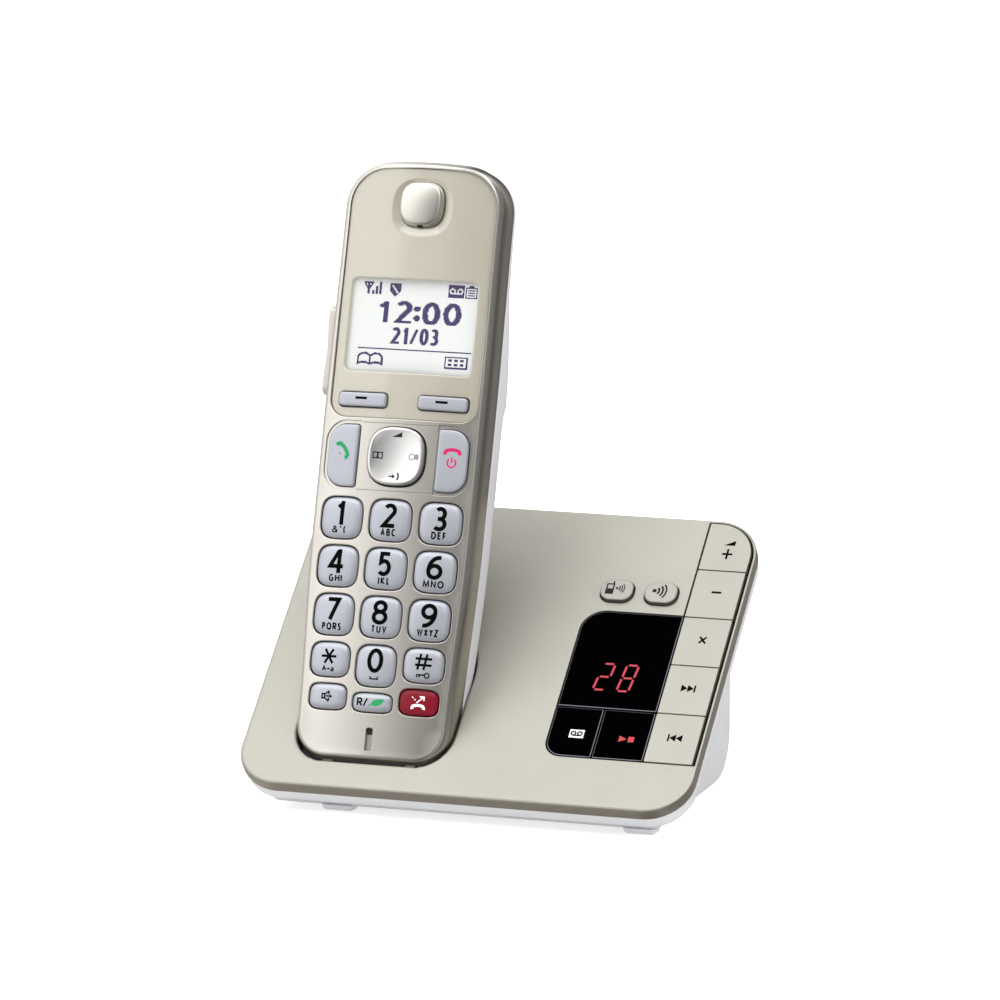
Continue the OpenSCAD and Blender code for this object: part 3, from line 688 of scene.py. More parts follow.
TALK_S, TALK_T, TALK_W, TALK_H = 16.6, 88.1, 9.0, 18.0
MIC_T = 6.6
NUMBER_KEYS = {}
for names, out, side_key_box, middle_key_box in (
        ("key_1 key_2 key_3", 15.0, (69.9, 12.4, 11.9), (69.9, 12.4, 11.9)),
        ("key_4 key_5 key_6", 14.8, (55.9, 12.3, 11.8), (55.9, 12.3, 11.8)),
        ("key_7 key_8 key_9", 14.5, (41.9, 12.1, 11.8), (41.9, 12.1, 11.8)),
        ("key_star key_0 key_hash", 14.2, (28.9, 11.8, 9.8), (27.8, 11.8, 11.8)),
        ("speaker_key recall_key call_block_key", 13.8, (18.2, 11.2, 7.2), (17.2, 11.6, 5.3))):
    for name, place in zip(names.split(), (-out, 0, out)):
        NUMBER_KEYS[name] = (place, *(side_key_box if place else middle_key_box))
SOFT_KEYS = {"soft_key_left": (-12.2, 104.5, 14.5, 3.9), "soft_key_right": (12.2, 104.5, 14.5, 3.9)}
KEY_GAP = 0.32
HOLE_LIP = ((0.34, 0.0), (0.12, -0.07), (0.0, -0.3), (0.0, -1.8))
FINE_LIP = ((0.22, 0.0), (0.08, -0.05), (0.0, -0.2), (0.0, -1.8))
MIC_LIP = ((0.7, 0), (0.12, 0), (0.03, -0.04), (0, -0.15), (0, -1.1))


def key_outline(name, grown=0.0):
    s, t, w, h = NUMBER_KEYS[name]
    power = 3.6 if h > 9 else 3.9
    return squircle(s, t, w + 2 * grown, h + 2 * grown, power)


def outer_round(side, middle, w, h, big, small):
    """A tall box at the tall keys' height, round on its outer side."""
    radii = [big, small, small, big] if side < 0 else [small, big, big, small]
    return box_outline(middle, TALK_T, w, h, radii, 1.0)


def talk_outline(side, grown=0.0):
    """The tall keys beside the navigation key."""
    return outer_round(side, side * TALK_S, TALK_W + 2 * grown, TALK_H + 2 * grown, 5.0 + grown, 0.9 + grown)


def nav_outline(grown=0.0):
    return squircle(0, NAV_T, 16.8 + 2 * grown, 16.8 + 2 * grown, 2.75)


CHANNEL, CHANNEL_DEPTH, GROOVE_DEPTH = 1.15, 0.4, 0.3


def channel_outline(side):
    """The channel round a tall key: close to its inner edge, wider round the outside."""
    inner, outer = TALK_W / 2 + 0.35, TALK_W / 2 + CHANNEL
    middle = side * (TALK_S + (outer - inner) / 2)
    return outer_round(side, middle, inner + outer, TALK_H + 2 * CHANNEL, 6.1, 0.2)


def front_shell():
    skin = Skin()
    rings = skin.lip(OUTLINE, ((-2.4, -0.03), (-2.2, 0.0), (-1.95, -0.01), (-1.6, -0.1), (-1.25, -0.38),
                               (-0.9, -0.85), (-0.6, -1.45), (-0.32, -2.3), (-0.12, -3.3), (0.0, -4.6)), face)
    rings += [skin.ring(OUTLINE, z) for z in (-8.5, SEAM + 0.45)]
    rings += skin.lip(OUTLINE, ((-0.05, 0.25), (-0.3, 0.12), (-0.9, 0.1)), SEAM)
    skin.strips(rings[:7], turned=True)
    # the sides take the darker copy of the paint: painted shade
    skin.strips(rings[6:], 1, turned=True)
    for name in NUMBER_KEYS:
        skin.hole(key_outline(name, KEY_GAP), HOLE_LIP, face)
    skin.hole(panel_outline(-0.12), FINE_LIP, face)
    skin.hole(box_outline(0, MIC_T, 2.0, 6.8, 0.6, 0.5), MIC_LIP, face)
    skin.hole(nav_outline(0.4), HOLE_LIP, face)
    for side in (-1, 1):
        profile = ((0.18, 0.0), (0.04, -0.06), (0.0, -0.2), (0.0, -CHANNEL_DEPTH))
        channel = skin.hole(channel_outline(side), profile, face)
        profile = ((0.12, -CHANNEL_DEPTH), (0.0, -CHANNEL_DEPTH - 0.1), (0.0, -1.9))
        well = skin.lip(talk_outline(side, 0.25), profile, face)
        skin.strips(well)
        skin.fill(channel[-1], [well[0]], lambda s, t: face(s, t) - CHANNEL_DEPTH, 2.0)
    for t in (TALK_T - TALK_H / 2 - 0.8, TALK_T + TALK_H / 2 + 0.8):
        groove = box_outline(0, t, 2 * (TALK_S - TALK_W / 2) - 1.8, 0.24, 0.1, 0.8)
        groove = skin.hole(groove, ((0.08, 0.0), (0.0, -GROOVE_DEPTH)), face)
        skin.fill(groove[-1], (), lambda s, t: face(s, t) - GROOVE_DEPTH, 2.0)
    skin.fill(rings[0], skin.holes, face)
    skin.make("handset_front", HANDSET, "handset", "champagne_paint", "front_shell", tones=("champagne_painted_shade",),
              crowned=face)


def slot_floor():
    """The floor of the microphone slot, and a dark patch painted at its top as the shade in the sound hole."""
    # the slot floor takes the darker copy of the paint: painted shade
    slab("microphone_slot", box_outline(0, MIC_T, 2.2, 7.0, 0.7, 0.5), (-0.85,), "champagne_paint", step=1.5,
         paint="champagne_painted_shade")
    # a dark patch where the sound hole is: painted shade
    dark = Skin()
    ring = dark.ring(box_outline(0, 9.0, 1.9, 1.9, 0.5, 0.5), -0.8)
    dark.cap(ring, lambda s, t: -0.8, scales=(0.5,))
    dark.make("microphone_hole_shade", HANDSET, "handset", "dark_plastic")


STEP_T, STEP_RISE = 104.7, 4            # the step above the battery cover, and how steep it is
FOOT_DEPTH, WAIST_DEPTH, DEEPEST, THINNING = 21, 25.1, 27.0, 12.5


def back_depth(t):
    """How deep the rear shell is, measured from the face."""
    if t < STEP_T:
        return FOOT_DEPTH + (WAIST_DEPTH - FOOT_DEPTH) * ease(t / 35)
    return min(DEEPEST, WAIST_DEPTH + (t - STEP_T) * STEP_RISE) - THINNING * ease((t - 105) / 68.6)


BACK_R = 8.6
SLOTS_T = [131 + 3 * i for i in range(5)]


def back_face(x, y):
    return -back_depth(y)


def rear_shell():
    skin = Skin()
    rings = skin.lip(OUTLINE, ((-0.9, 0.0), (-0.3, 0.0), (-0.05, -0.15), (0.0, -0.4)), SEAM)
    depth = np.array([back_depth(t) for t in OUTLINE[:, 1]])
    radius = np.minimum(BACK_R, depth + SEAM - 0.6)
    for angle in np.radians(range(0, 91, 10)):
        loop = grow(OUTLINE, -radius * (1 - math.cos(angle)))
        rings.append(skin.ring(loop, list(-(depth - radius) - radius * math.sin(angle))))
    skin.strips(rings, turned=True)
    for t in SLOTS_T:
        found = [skin.ring(box_outline(0, t, w, h, 0.6, 0.8), lambda x, y, sink=sink: back_face(x, y) + sink)
                 for w, h, sink in ((12.4, 1.8, 0.0), (12.1, 1.5, 0.1), (12.0, 1.4, 1.6))]
        skin.strips(found, turned=True)
        skin.holes.append(found[0])
    skin.fill(rings[-1], skin.holes, back_face, 2.4, down=True)
    skin.make("handset_back", HANDSET, "handset", "pale_plastic", "rear_shell", even=False)


COVER_LOW, COVER_HIGH, COVER_HALF = 54.0, 104.9, 21.2
COVER_BACK, COVER_INNER = -26.9, -25.2
GRIP_LOW, GRIP_HIGH = 92, 102


def battery_cover():
    """A proud, full-width cover with rounded ends and a grip of shallow ribs."""
    skin = Skin()
    loop = box_outline(0, (COVER_LOW + COVER_HIGH) / 2, 2 * COVER_HALF, COVER_HIGH - COVER_LOW, 2.5, 1.2)

    def outer(x, y):
        side = max(0.0, abs(x) - 14.5)
        top = COVER_BACK + (BACK_R - math.sqrt(max(0.0, BACK_R ** 2 - side ** 2)))
        ribbed = GRIP_LOW < y < GRIP_HIGH and abs(x) < 8
        grip = 0.25 * math.sin((y - GRIP_LOW) * math.pi / 2) ** 2 if ribbed else 0
        return min(top + grip, COVER_INNER - 0.15)

    rings = [skin.ring(loop, COVER_INNER),
             skin.ring(loop, lambda x, y: min(outer(x, y) + 0.5, COVER_INNER - 0.1))]
    rings += skin.lip(loop, ((-0.15, 0.15), (-0.5, 0.0)), outer)
    skin.strips(rings, turned=True)
    skin.fill(rings[-1], (), outer, 1.1, down=True)
    skin.fill(rings[0], (), COVER_INNER, 6.0)
    skin.make("battery_door", HANDSET, "battery_cover", "pale_plastic", "battery_cover", even=False)


PANEL_LIP = ((0.3, 0.0), (0.1, -0.06), (0.0, -0.25), (0.0, -1.1))
SCREEN_LIP = ((0.55, 0.0), (0.3, -0.08), (0.08, -0.35), (0, -0.7), (0, -1.2))


def face_panel():
    skin = Skin()
    profile = ((-0.3, 0.0), (-0.1, -0.04), (0.0, -0.16), (0.0, -1.1))
    edge = skin.lip(panel_outline(0.0), profile, panel_face)
    skin.strips(edge, turned=True)
    skin.hole(box_outline(0, SCREEN_T, SCREEN_W, SCREEN_H, 1.7), SCREEN_LIP, panel_face)
    for s, t, w, h in SOFT_KEYS.values():
        skin.hole(box_outline(s, t, w + 0.7, h + 0.7, 1.3, 0.8), PANEL_LIP, panel_face)
    rim, well = squircle(0, EAR_T - 1.1, 18.8, 17.6, 2.6), squircle(0, EAR_T, 13.4, 13.2, 3.0)
    dish = [skin.ring(rim * (1 - k) + well * k, lambda x, y, d=d: panel_face(x, y) - d) for k, d in
            ((0, 0), (0.12, 0.02), (0.3, 0.1), (0.55, 0.25), (0.8, 0.36), (0.95, 0.42), (1, 0.6), (1, 2))]
    skin.strips(dish)
    skin.fill(edge[0], [*skin.holes, dish[0]], panel_face)
    skin.make("upper_panel", HANDSET, "handset", "champagne_gloss", "face_panel", crowned=panel_face)


LCD_FACE = -2.95
PIXEL = 0.36


def pixels(name, ink, cut=None, cell=PIXEL, wider=0):
    """A mark on the display, drawn as the square cells that the ink covers. cut leaves cells blank."""
    low, high = np.min(ink.points, 0), np.max(ink.points, 0)
    first, last = np.floor(low / cell).astype(int) - wider, np.ceil(high / cell).astype(int) + wider
    columns, rows = range(first[0], last[0] + 1), range(first[1], last[1] + 1)
    cells = np.array([((i + 0.5) * cell, (j + 0.5) * cell) for j in rows for i in columns])
    on = ink.covers(cells)
    if cut:
        on &= ~cut.covers(cells)
    on = on.reshape(len(rows), len(columns))
    for _ in range(wider):
        on[:, 1:] |= on[:, :-1].copy()
    drawn = Ink()
    for j, row in zip(rows, on):
        steps = np.flatnonzero(np.diff(np.concatenate([[0], row.astype(int), [0]])))
        for start, end in zip(steps[::2], steps[1::2]):
            left, right = (first[0] + start) * cell, (first[0] + end) * cell
            drawn.box((left + right) / 2, (j + 0.5) * cell, right - left, cell)
    drawn.points = [(x, y + SCREEN_T) for x, y in drawn.points]
    drawn.lay(name, HANDSET, "handset", "purple", None, "lcd", LCD_FACE + 0.03)


def screen():
    """The clear lens, and the pale display under it."""
    lens = Skin()
    loop = box_outline(0, SCREEN_T, SCREEN_W - 0.1, SCREEN_H - 0.1, 1.65)
    rings = lens.lip(loop, ((-0.25, -0.5), (-0.05, -0.56), (0, -0.7), (0, -1.1)), panel_face)
    lens.strips(rings, turned=True)
    lens.fill(rings[0], (), lambda s, t: panel_face(s, t) - 0.5)
    lens.make("screen_lens", HANDSET, "handset", "clear_lens", "lcd_window")
    outline = box_outline(0, SCREEN_T, 40.4, 29.2, 1.0)
    slab("display_glass", outline, (-5.5, LCD_FACE), "lcd", "lcd_module", step=8)


def screen_marks():
    fine = PIXEL / 2
    clock = stroked("1", -9.5, 4.2, 3.0, 6.2, 1.0)
    for digit, x in (("2", -3.5), ("0", 4.8), ("0", 11.2)):
        clock.add(stroked(digit, x, 4.2, 4.8, 6.6, 1.0))
    for y in (2.7, 5.5):
        clock.disc(0.5, y, 0.75)
    pixels("clock_figures", clock, wider=2)
    date = Ink()
    for digit, x, wide in (("2", -5.1, 2.5), ("1", -2.2, 1.4), ("0", 3.5, 2.4), ("3", 6.6, 2.4)):
        date.add(stroked(digit, x, -2.6, wide, 4.8, 0.72))
    date.stroke([(-0.4, -4.8), (1.2, -0.6)], 0.5)
    pixels("date_figures", date, cell=fine, wider=2)
    pixels("display_rule", Ink().box(1.0, -6.7, 34.6, 0.4))
    aerial = Ink().box(-14.6, 10.9, 0.6, 3.6)
    aerial.box(-14.6, 12.5, 2.9, 0.4).stroke([(-15.9, 12.4), (-14.7, 10.7)], 0.5)
    aerial.stroke([(-13.3, 12.4), (-14.5, 10.7)], 0.5)
    for k in range(3):
        aerial.box(-13.2 + 1.1 * k, 9.7 + 0.6 * k, 0.75, 1.2 + 1.2 * k)
    pixels("signal_mark", aerial, cell=fine)
    shield = Ink().poly([(-8.1, 10.3), (-6.4, 8.7), (-4.7, 10.3), (-4.7, 12.6), (-8.1, 12.6)])
    pixels("shield_mark", shield, Ink().stroke([(-7.4, 12.0), (-5.6, 9.8)], 0.45), fine)
    tape = Ink().arc(11.0, 11.1, 0.7, 0, 360, 0.4).arc(13.3, 11.1, 0.7, 0, 360, 0.4)
    tape.box(12.15, 10.4, 2.3, 0.4)
    pixels("message_mark", Ink().box(12.15, 11.1, 4.7, 3.7), tape, fine)
    cell = Ink().stroke([(15.1, 9.4), (18.3, 9.4), (18.3, 12.2), (15.1, 12.2)], 0.4, True)
    cell.box(16.7, 12.7, 1.6, 0.5)
    for k in range(3):
        cell.box(16.7, 10.1 + 0.72 * k, 2.2, 0.3)
    pixels("battery_mark", cell, cell=fine)
    book = Ink()
    for side in (-1, 1):
        page = [(0, -8.9), (side * 1.3, -8.1), (side * 2.6, -8.2), (side * 3.6, -9.0), (side * 3.7, -11.2),
                (side * 2.6, -10.8), (side * 1.2, -10.8), (0, -11.3)]
        book.stroke([(x - 12.1, y) for x, y in page][::side], 0.6)
    book.stroke([(-12.1, -8.9), (-12.1, -11.3)], 0.55)
    pixels("book_mark", book, cell=fine)
    menu = Ink().stroke([(10.8, -11.2), (17.4, -11.2), (17.4, -8.1), (10.8, -8.1)], 0.5, True)
    for i in range(3):
        for j in range(2):
            menu.box(12.3 + 1.8 * i, -10.2 + 1.15 * j, 1.1, 0.7)
    pixels("menu_mark", menu, cell=fine)


def earpiece():
    def dome(x, y):
        return 1.75 - 0.011 * (x * x + (y - EAR_T) ** 2)

    skin = Skin()
    loop = squircle(0, EAR_T, 12.4, 12.4, 3.0)
    rings = skin.lip(loop, ((0.35, -2.6), (0.35, -0.6), (0.2, -0.35), (0, -0.3), (0, 0.55)))
    rings += skin.lip(loop, ((-0.03, -0.45), (-0.16, -0.2), (-0.42, -0.06), (-0.8, 0.0)), dome)
    skin.strips(rings)
    skin.cap(rings[-1], dome)
    skin.make("earpiece", HANDSET, "handset", "silver_plastic", "earpiece_cap", paint="brushed_silver")
    # a dark patch in the gap below the earpiece cap: painted shade
    outline = box_outline(0, EAR_T - 6.35, 1.5, 0.9, 0.2, 0.4)
    slab("earpiece_notch_shade", outline, (-0.9, 0.1), "dark_plastic", step=1.0)


# ---- Handset keys ----


def key_cap(name, outline, top, slot, where, edge=0.9, foot=-1.6, side=None, reach=None):
    """A key with a soft edge, reach wide and edge high. top gives the height of its upper face at x, y,
    and side, where given, is a darker finish for its flanks in place of the slot's: painted shade."""
    reach = reach or edge
    skin = Skin()
    rings = [skin.ring(outline, foot), skin.ring(outline, lambda x, y: top(x, y) - edge)]
    rings += skin.lip(outline, [(-reach * (1 - math.cos(a)), -edge * (1 - math.sin(a)))
                                for a in np.radians((22, 45, 68, 90))], top)
    skin.strips(rings[:3], 1 if side else 0)
    skin.strips(rings[2:])
    skin.cap(rings[-1], top)
    skin.make(name + "_cap", where, BODY_OF[name], slot, name, tones=(side,) if side else (), even=False)


def dome(height, bulge, half):
    return lambda x, y: height + bulge * (1 - (x * x + y * y) / (half * half))


LETTERS = {"key_2": ("ABC", 4.7), "key_3": ("DEF", 4.45), "key_4": ("GHI", 4.0), "key_5": ("JKL", 3.8),
           "key_6": ("MNO", 6.2), "key_7": ("PQRS", 5.95), "key_8": ("TUV", 4.7), "key_9": ("WXYZ", 6.3)}
KEY_RISE, KEY_DOME = 0.58, 0.4
DIGIT_H, DIGIT_WEIGHT, LETTER_H, LETTER_WEIGHT, LETTER_SPACE = 7.1, 1.2, 2.15, 0.44, 0.28
DIGIT_W = {"1": 2.9, "2": 4.5, "3": 4.4, "4": 5.0, "5": 4.3, "7": 4.5}


def touch_dot(name, where, body, x, y, top):
    dot = Skin()
    ring = dot.ring(squircle(x, y, 0.9, 0.9, 2, 20), lambda px, py: top(px, py) - 0.02)
    dot.cap(ring, lambda px, py: top(px, py) + 0.28 * (1 - ((px - x) ** 2 + (py - y) ** 2) / 0.2),
            scales=(0.85, 0.6, 0.3))
    dot.make(name, where, body, "key_grey", even=False)


def key_top(name):
    """A number key's frame and the dome of its upper face."""
    s, t, w, h = NUMBER_KEYS[name]
    return on_crown(s, t), dome(KEY_RISE, KEY_DOME, w / 2)


def print_on(key, ink, color="black", name=None):
    where, top = key_top(key)
    ink.lay(name or "legend_" + key, where, key, color, top)


def number_keys():
    for name, (s, t, w, h) in NUMBER_KEYS.items():
        where, top = key_top(name)
        slot = "key_red" if name == "call_block_key" else "key_grey"
        key_cap(name, key_outline(name) - (s, t), top, slot, where, edge=1.0, reach=1.5)
        digit = name[-1]
        if not digit.isdigit():
            continue
        middle = 1.3 if digit != "0" else 1.5
        mark = stroked(digit, 0, middle, DIGIT_W.get(digit, 4.8), DIGIT_H, DIGIT_WEIGHT)
        if name in LETTERS:
            letters, wide = LETTERS[name]
            mark.add(word(letters, 0, -3.55, wide, LETTER_H, LETTER_WEIGHT, LETTER_SPACE))
        elif digit == "0":
            mark.stroke([(-1.1, -3.1), (-1.1, -3.8), (1.1, -3.8), (1.1, -3.1)], 0.4)
        else:
            for sign, *box in (("&", -1.4, -3.5, 1.9, 2.0, 0.36), ("'", 0.35, -3.1, 0.5, 1.6, 0.5),
                               ("(", 1.7, -3.5, 1.0, 2.3, 0.42)):
                mark.add(word(sign, *box))
        print_on(name, mark)
        if digit == "5":
            touch_dot("touch_dot_5", where, name, 0, 0.4, top)


def legends_below():
    """The marks on the star, hash, speaker, recall and call-block keys."""
    star = Ink().stroke([(-2.3, 0.8), (2.3, 0.8)], 0.7)
    for angle in (60, 120):
        c, s = math.cos(math.radians(angle)), math.sin(math.radians(angle))
        for end in (-1, 1):
            star.stroke([(end * c * k, 0.8 + end * s * m) for k, m in ((0.3, 0.3), (2.5, 2.35))], 0.7)
    star.add(word("A", -1.25, -2.75, 1.4, 1.6, 0.34)).add(word("a", 1.3, -2.95, 1.05, 1.25, 0.32))
    star.stroke([(-0.5, -2.85), (0.15, -2.85)], 0.28).poly([(0.05, -3.25), (0.6, -2.85), (0.05, -2.45)])
    print_on("key_star", star)
    mark = Ink()
    for k in (-0.9, 0.9):
        mark.stroke([(-2.35, 1.0 + k), (2.5, 1.0 + k)], 0.7)
        for low, high in ((-1.3, -0.2), (0.45, 1.55), (2.2, 3.3)):
            mark.stroke([(k - 0.25 + 0.16 * (y - 1.2), y) for y in (low, high)], 0.68)
    mark.arc(1.35, -2.85, 0.68, 0, 360, 0.4).stroke([(-1.7, -2.75), (0.6, -2.75)], 0.44)
    mark.stroke([(-1.6, -2.95), (-1.6, -3.5)], 0.4).stroke([(-0.8, -2.95), (-0.8, -3.45)], 0.4)
    print_on("key_hash", mark)
    horn = Ink().stroke([(-1.35, 0.6), (-0.5, 0.6), (-0.5, -0.6), (-1.35, -0.6)], 0.44, True)
    for ends in (((-0.3, 0.65), (0.75, 1.5)), ((0.75, -1.5), (-0.3, -0.65)), ((0.75, 1.4), (0.75, 0.5)),
                 ((0.75, -0.5), (0.75, -1.4)), ((-0.1, 0), (1.3, 0))):
        horn.stroke(ends, 0.44)
    print_on("speaker_key", horn.poly([(1.1, -0.55), (1.85, 0), (1.1, 0.55)]))
    letter = word("R", -3.5, 0, 1.8, 2.5, 0.5).add(stroked("/", -1.75, 0, 1.4, 2.7, 0.44))
    print_on("recall_key", letter)
    leaf = Ink().poly([(0.0, -0.55), (0.9, -1.0), (2.3, -0.8), (3.4, 0.1), (3.9, 1.1), (2.6, 1.15),
                       (1.1, 0.85), (0.2, 0.2)])
    print_on("recall_key", leaf.stroke([(-0.9, -1.1), (0.2, -0.5)], 0.3), "green", "legend_saving")
    block = receiver(Ink(), 0.1, -1.0, 4.2, 0)
    for points, width in (([(-1.9, 1.6), (-1.4, 1.2)], 0.26), ([(-1.1, 0.95), (-0.7, 0.6)], 0.26),
                          ([(-0.4, -0.1), (0.0, 0.25), (1.4, 1.5)], 0.36),
                          ([(0.4, 1.7), (1.7, 1.7), (1.7, 0.6)], 0.38)):
        block.stroke(points, width)
    print_on("call_block_key", block, "white")


def soft_keys():
    for name, (s, t, w, h) in SOFT_KEYS.items():
        where = on_crown(s, t)
        top = lambda x, y: 0.5 - 0.02 * y * y
        key_cap(name, box_outline(0, 0, w, h, 1.0, 0.7), top, "key_grey", where, edge=0.4)
        Ink().box(-0.3, 0.35, 3.6, 0.72).lay("legend_" + name, where, name, "black", top)


def call_keys():
    for name, side in (("talk_key", -1), ("off_key", 1)):
        where = on_crown(side * TALK_S, TALK_T)
        top = dome(0.6, 0.14, 9)
        key_cap(name, talk_outline(side) - (side * TALK_S, TALK_T), top, "key_grey", where, edge=0.5)
        if side < 0:
            receiver(Ink(), 0.55, 1.7, 5.9, -52).lay("legend_talk_key", where, name, "green", top)
            touch_dot("touch_dot_talk", where, name, -0.75, 0.5, top)
        else:
            mark = receiver(Ink(), 0, 3.0, 5.3, 0)
            mark.arc(0, -0.55, 1.25, 125, 415, 0.46, 16).stroke([(0, 1.1), (0, -0.55)], 0.46)
            mark.lay("legend_off_key", where, name, "pink", top)


def nav_key():
    where = on_crown(0, NAV_T)
    local = nav_outline() - (0, NAV_T)

    def dish(x, y):
        return 0.95 + 0.55 * min(1.0, (x * x + y * y) / 60)

    skin = Skin()
    rings = skin.lip(local, ((0, -1.6), (0, 0.85), (-0.05, 1.15), (-0.2, 1.4), (-0.45, 1.53), (-0.75, 1.55),
                             (-1.05, 1.5)))
    rings.append(skin.ring(grow(local, -1.5), dish))
    skin.strips(rings)
    skin.cap(rings[-1], dish, scales=(0.85, 0.7, 0.55, 0.4, 0.25, 0.12))
    skin.make("navigation_key", where, "nav_key", "silver_plastic", "nav_key", even=False)
    marks = Ink().poly([(-1.55, 5.5), (1.5, 5.5), (1.5, 7.0)])
    for side in (-1, 1):
        near, far = side * 0.1 - 5.35, side * 1.35 - 5.35
        marks.stroke([(near, -0.8), (near, 0.85), (far, 0.85), (far, -0.8)], 0.34, True)
    marks.stroke([(-1.4, -5.9), (-0.3, -5.9)], 0.4).poly([(-0.4, -6.6), (0.5, -5.9), (-0.4, -5.2)])
    marks.arc(-0.1, -5.9, 1.6, -42, 42, 0.5)
    marks.lay("nav_marks", where, "nav_key", "grey", dish)
    marks = Ink().arc(5.0, 0.05, 0.85, 0, 360, 0.3).disc(6.5, 0.05, 0.85)
    marks.lay("nav_mark_right", where, "nav_key", "pale_grey", dish)


def side_key():
    """The volume rocker on the left side, with a rise at each end."""
    where = HANDSET @ Matrix.Translation((-22.6, 119.1, -8)) @ Matrix.Rotation(math.radians(-90), 4, "Y")
    top = lambda x, y: 4.35 - 0.4 * math.exp(-(y / 5) ** 2)
    outline = box_outline(0, 0, 5, 26, 2.0, 1.0)
    key_cap("side_volume_key", outline, top, "champagne_key", where, edge=0.7, foot=0.2)


# ---- Base ----

BASE_W, PLATE_LEN, PLATE_R = 136.0, 105.8, 13.5
BAND_H, TRAY_H, TRAY_INSET = 3.8, 5.8, 0.7
BLOCK_U, SPLIT_U, COLUMN_U, COLUMN_RIGHT, PITCH = 22.2, 36.4, 51.8, 66.4, 17.5
BLOCK_LOW, BLOCK_MIDDLE, BLOCK_TOP = PITCH, 35, 70.0
SEAM_GAP, RIM_IN, WELL_GAP = 0.17, 0.75, 0.35
PLATE_LOOP = box_outline(0, PLATE_LEN / 2, BASE_W, PLATE_LEN, PLATE_R, 2.0)
ROUND_KEYS = {"locator_key": (30.0, 77.4), "intercom_key": (43.3, 77.4)}
WELL_LIP = 2.2


def key_well():
    """The opening for the display block and the key column."""
    right, top = BASE_W / 2 - RIM_IN, PLATE_LEN - RIM_IN
    left, middle, low = BLOCK_U - WELL_GAP, COLUMN_U - WELL_GAP, BLOCK_LOW - WELL_GAP
    return fillet([(left, low, 5.3), (right, low, 0.4), (right, top, PLATE_R - RIM_IN), (middle, top, 0.3),
                   (middle, BLOCK_TOP + WELL_GAP, 0), (left, BLOCK_TOP + WELL_GAP, 7.3)])


def well_loop(gap):
    """Where the handset's foot, grown by a gap, goes through the slope."""
    rise, slant = math.sin(SLOPE_GAP), 1 / math.tan(SLOPE_GAP)
    right = []
    for n in [*np.linspace(-0.3, 6, 14), *np.linspace(8, 14, 4), *np.arange(15, 25, 0.8)]:
        t = max(0.0, slant * n + FOOT_SINK)
        foot = FOOT_R - min(t, FOOT_R)
        width = half_width(max(t, FOOT_R)) - FOOT_R + math.sqrt(FOOT_R ** 2 - foot ** 2)
        deep = n - (back_depth(t) - BACK_R)
        if deep < BACK_R:
            right.append((width - BACK_R + math.sqrt(BACK_R ** 2 - max(0.0, deep) ** 2), -n))
    back_s, back_n = right[-1]
    right += [(back_s - 1.5, back_n - 0.35), *[(s, back_n - 0.5) for s in (13, 9, 5)]]
    half = [(s, HANDSET_V - n / rise) for s, n in right]
    front = [(s, half[0][1]) for s in np.linspace(-half[0][0], half[0][0], 14)[1:-1]]
    loop = front + half + [(0, half[-1][1])] + [(-s, v) for s, v in reversed(half)]
    return grow(np.array(loop), gap) + (HANDSET_X, 0)


def top_cover():
    skin = Skin()
    facing = outward(PLATE_LOOP)
    thin = 1 - 0.62 * np.clip(np.maximum(facing[:, 0], facing[:, 1]), 0, 1)
    profile = ((1.3, 0.0), (0.85, -0.07), (0.4, -0.32), (0.1, -0.8), (0.0, -1.4))
    rings = [skin.ring(grow(PLATE_LOOP, -d * thin), [z * k for k in thin]) for d, z in profile]
    rings += skin.lip(PLATE_LOOP, ((0, 0.3), (-0.12, 0.05), (-1.2, 0)), -BAND_H)
    # the rounded lower edge and the band take the darker copy of the satin: painted shade
    for index, (a, b) in enumerate(zip(rings, rings[1:])):
        skin.strip(b, a, 1 if index > 1 else 0)
    skin.hole(key_well(), ((0.12, 0.0), (0.04, -0.03), (0.0, -0.12), (0.0, -2.6)))
    for u, v in ROUND_KEYS.values():
        outline = box_outline(u, v, 10.3, 8.3, 3.55, 1.0)
        skin.hole(outline, ((0.15, 0.0), (0.05, -0.04), (0.0, -0.15), (0.0, -2.2)))
    mouth = well_loop(0.25)
    lip = skin.lip(mouth, ((1, 0), (0.7, -0.04), (0.4, -0.15), (0.18, -0.4), (0.05, -0.9), (0, -WELL_LIP)))
    slide = Vector((-math.cos(SLOPE_GAP), -math.sin(SLOPE_GAP)))
    share = np.array([ease((y - 8) / 30) for x, y in mouth])      # the back wall follows the handset
    for depth in (3.0, 9.0, 18.0):
        reach = mouth + np.stack([0 * share, slide.x * depth * share], 1)
        lip.append(skin.ring(reach, -WELL_LIP + slide.y * depth * (0.25 + 0.75 * share)))
    skin.strips(lip)
    skin.fill(rings[0], [*skin.holes, lip[0]], 0.0, 5.0)
    skin.make("sloping_top", PLATE, "base", "champagne_satin", "top_cover", tones=("band_painted_shade",))


def base_key_outlines():
    """The outlines of the flat keys and the display window, with a seam on the sides that need one."""
    g = SEAM_GAP
    left, right, block_right = COLUMN_U + g, COLUMN_RIGHT - g, COLUMN_U - g
    found = {name: span_outline(left, PITCH * row + g, right, PITCH * (row + 1) - g)
             for row, name in enumerate(("previous_key", "next_key", "erase_key", "volume_down_key"), 1)}
    for name, span, radii in (
            ("volume_up_key", (left, PITCH * 5 + g, right, PLATE_LEN - RIM_IN - 0.35), (0.3, 0.3, 11.5, 0.3)),
            ("message_key", (BLOCK_U, BLOCK_LOW, SPLIT_U - g, BLOCK_MIDDLE - g), (5.0, 0.3, 0.3, 0.3)),
            ("play_key", (SPLIT_U + g, BLOCK_LOW, block_right, BLOCK_MIDDLE - g), (0.3, 0.3, 0.3, 0.3)),
            ("display_window", (BLOCK_U, BLOCK_MIDDLE + g, block_right, BLOCK_TOP), (0.3, 0.3, 0.3, 7.0))):
        found[name] = span_outline(*span, radii)
    return found


BASE_KEYS = base_key_outlines()


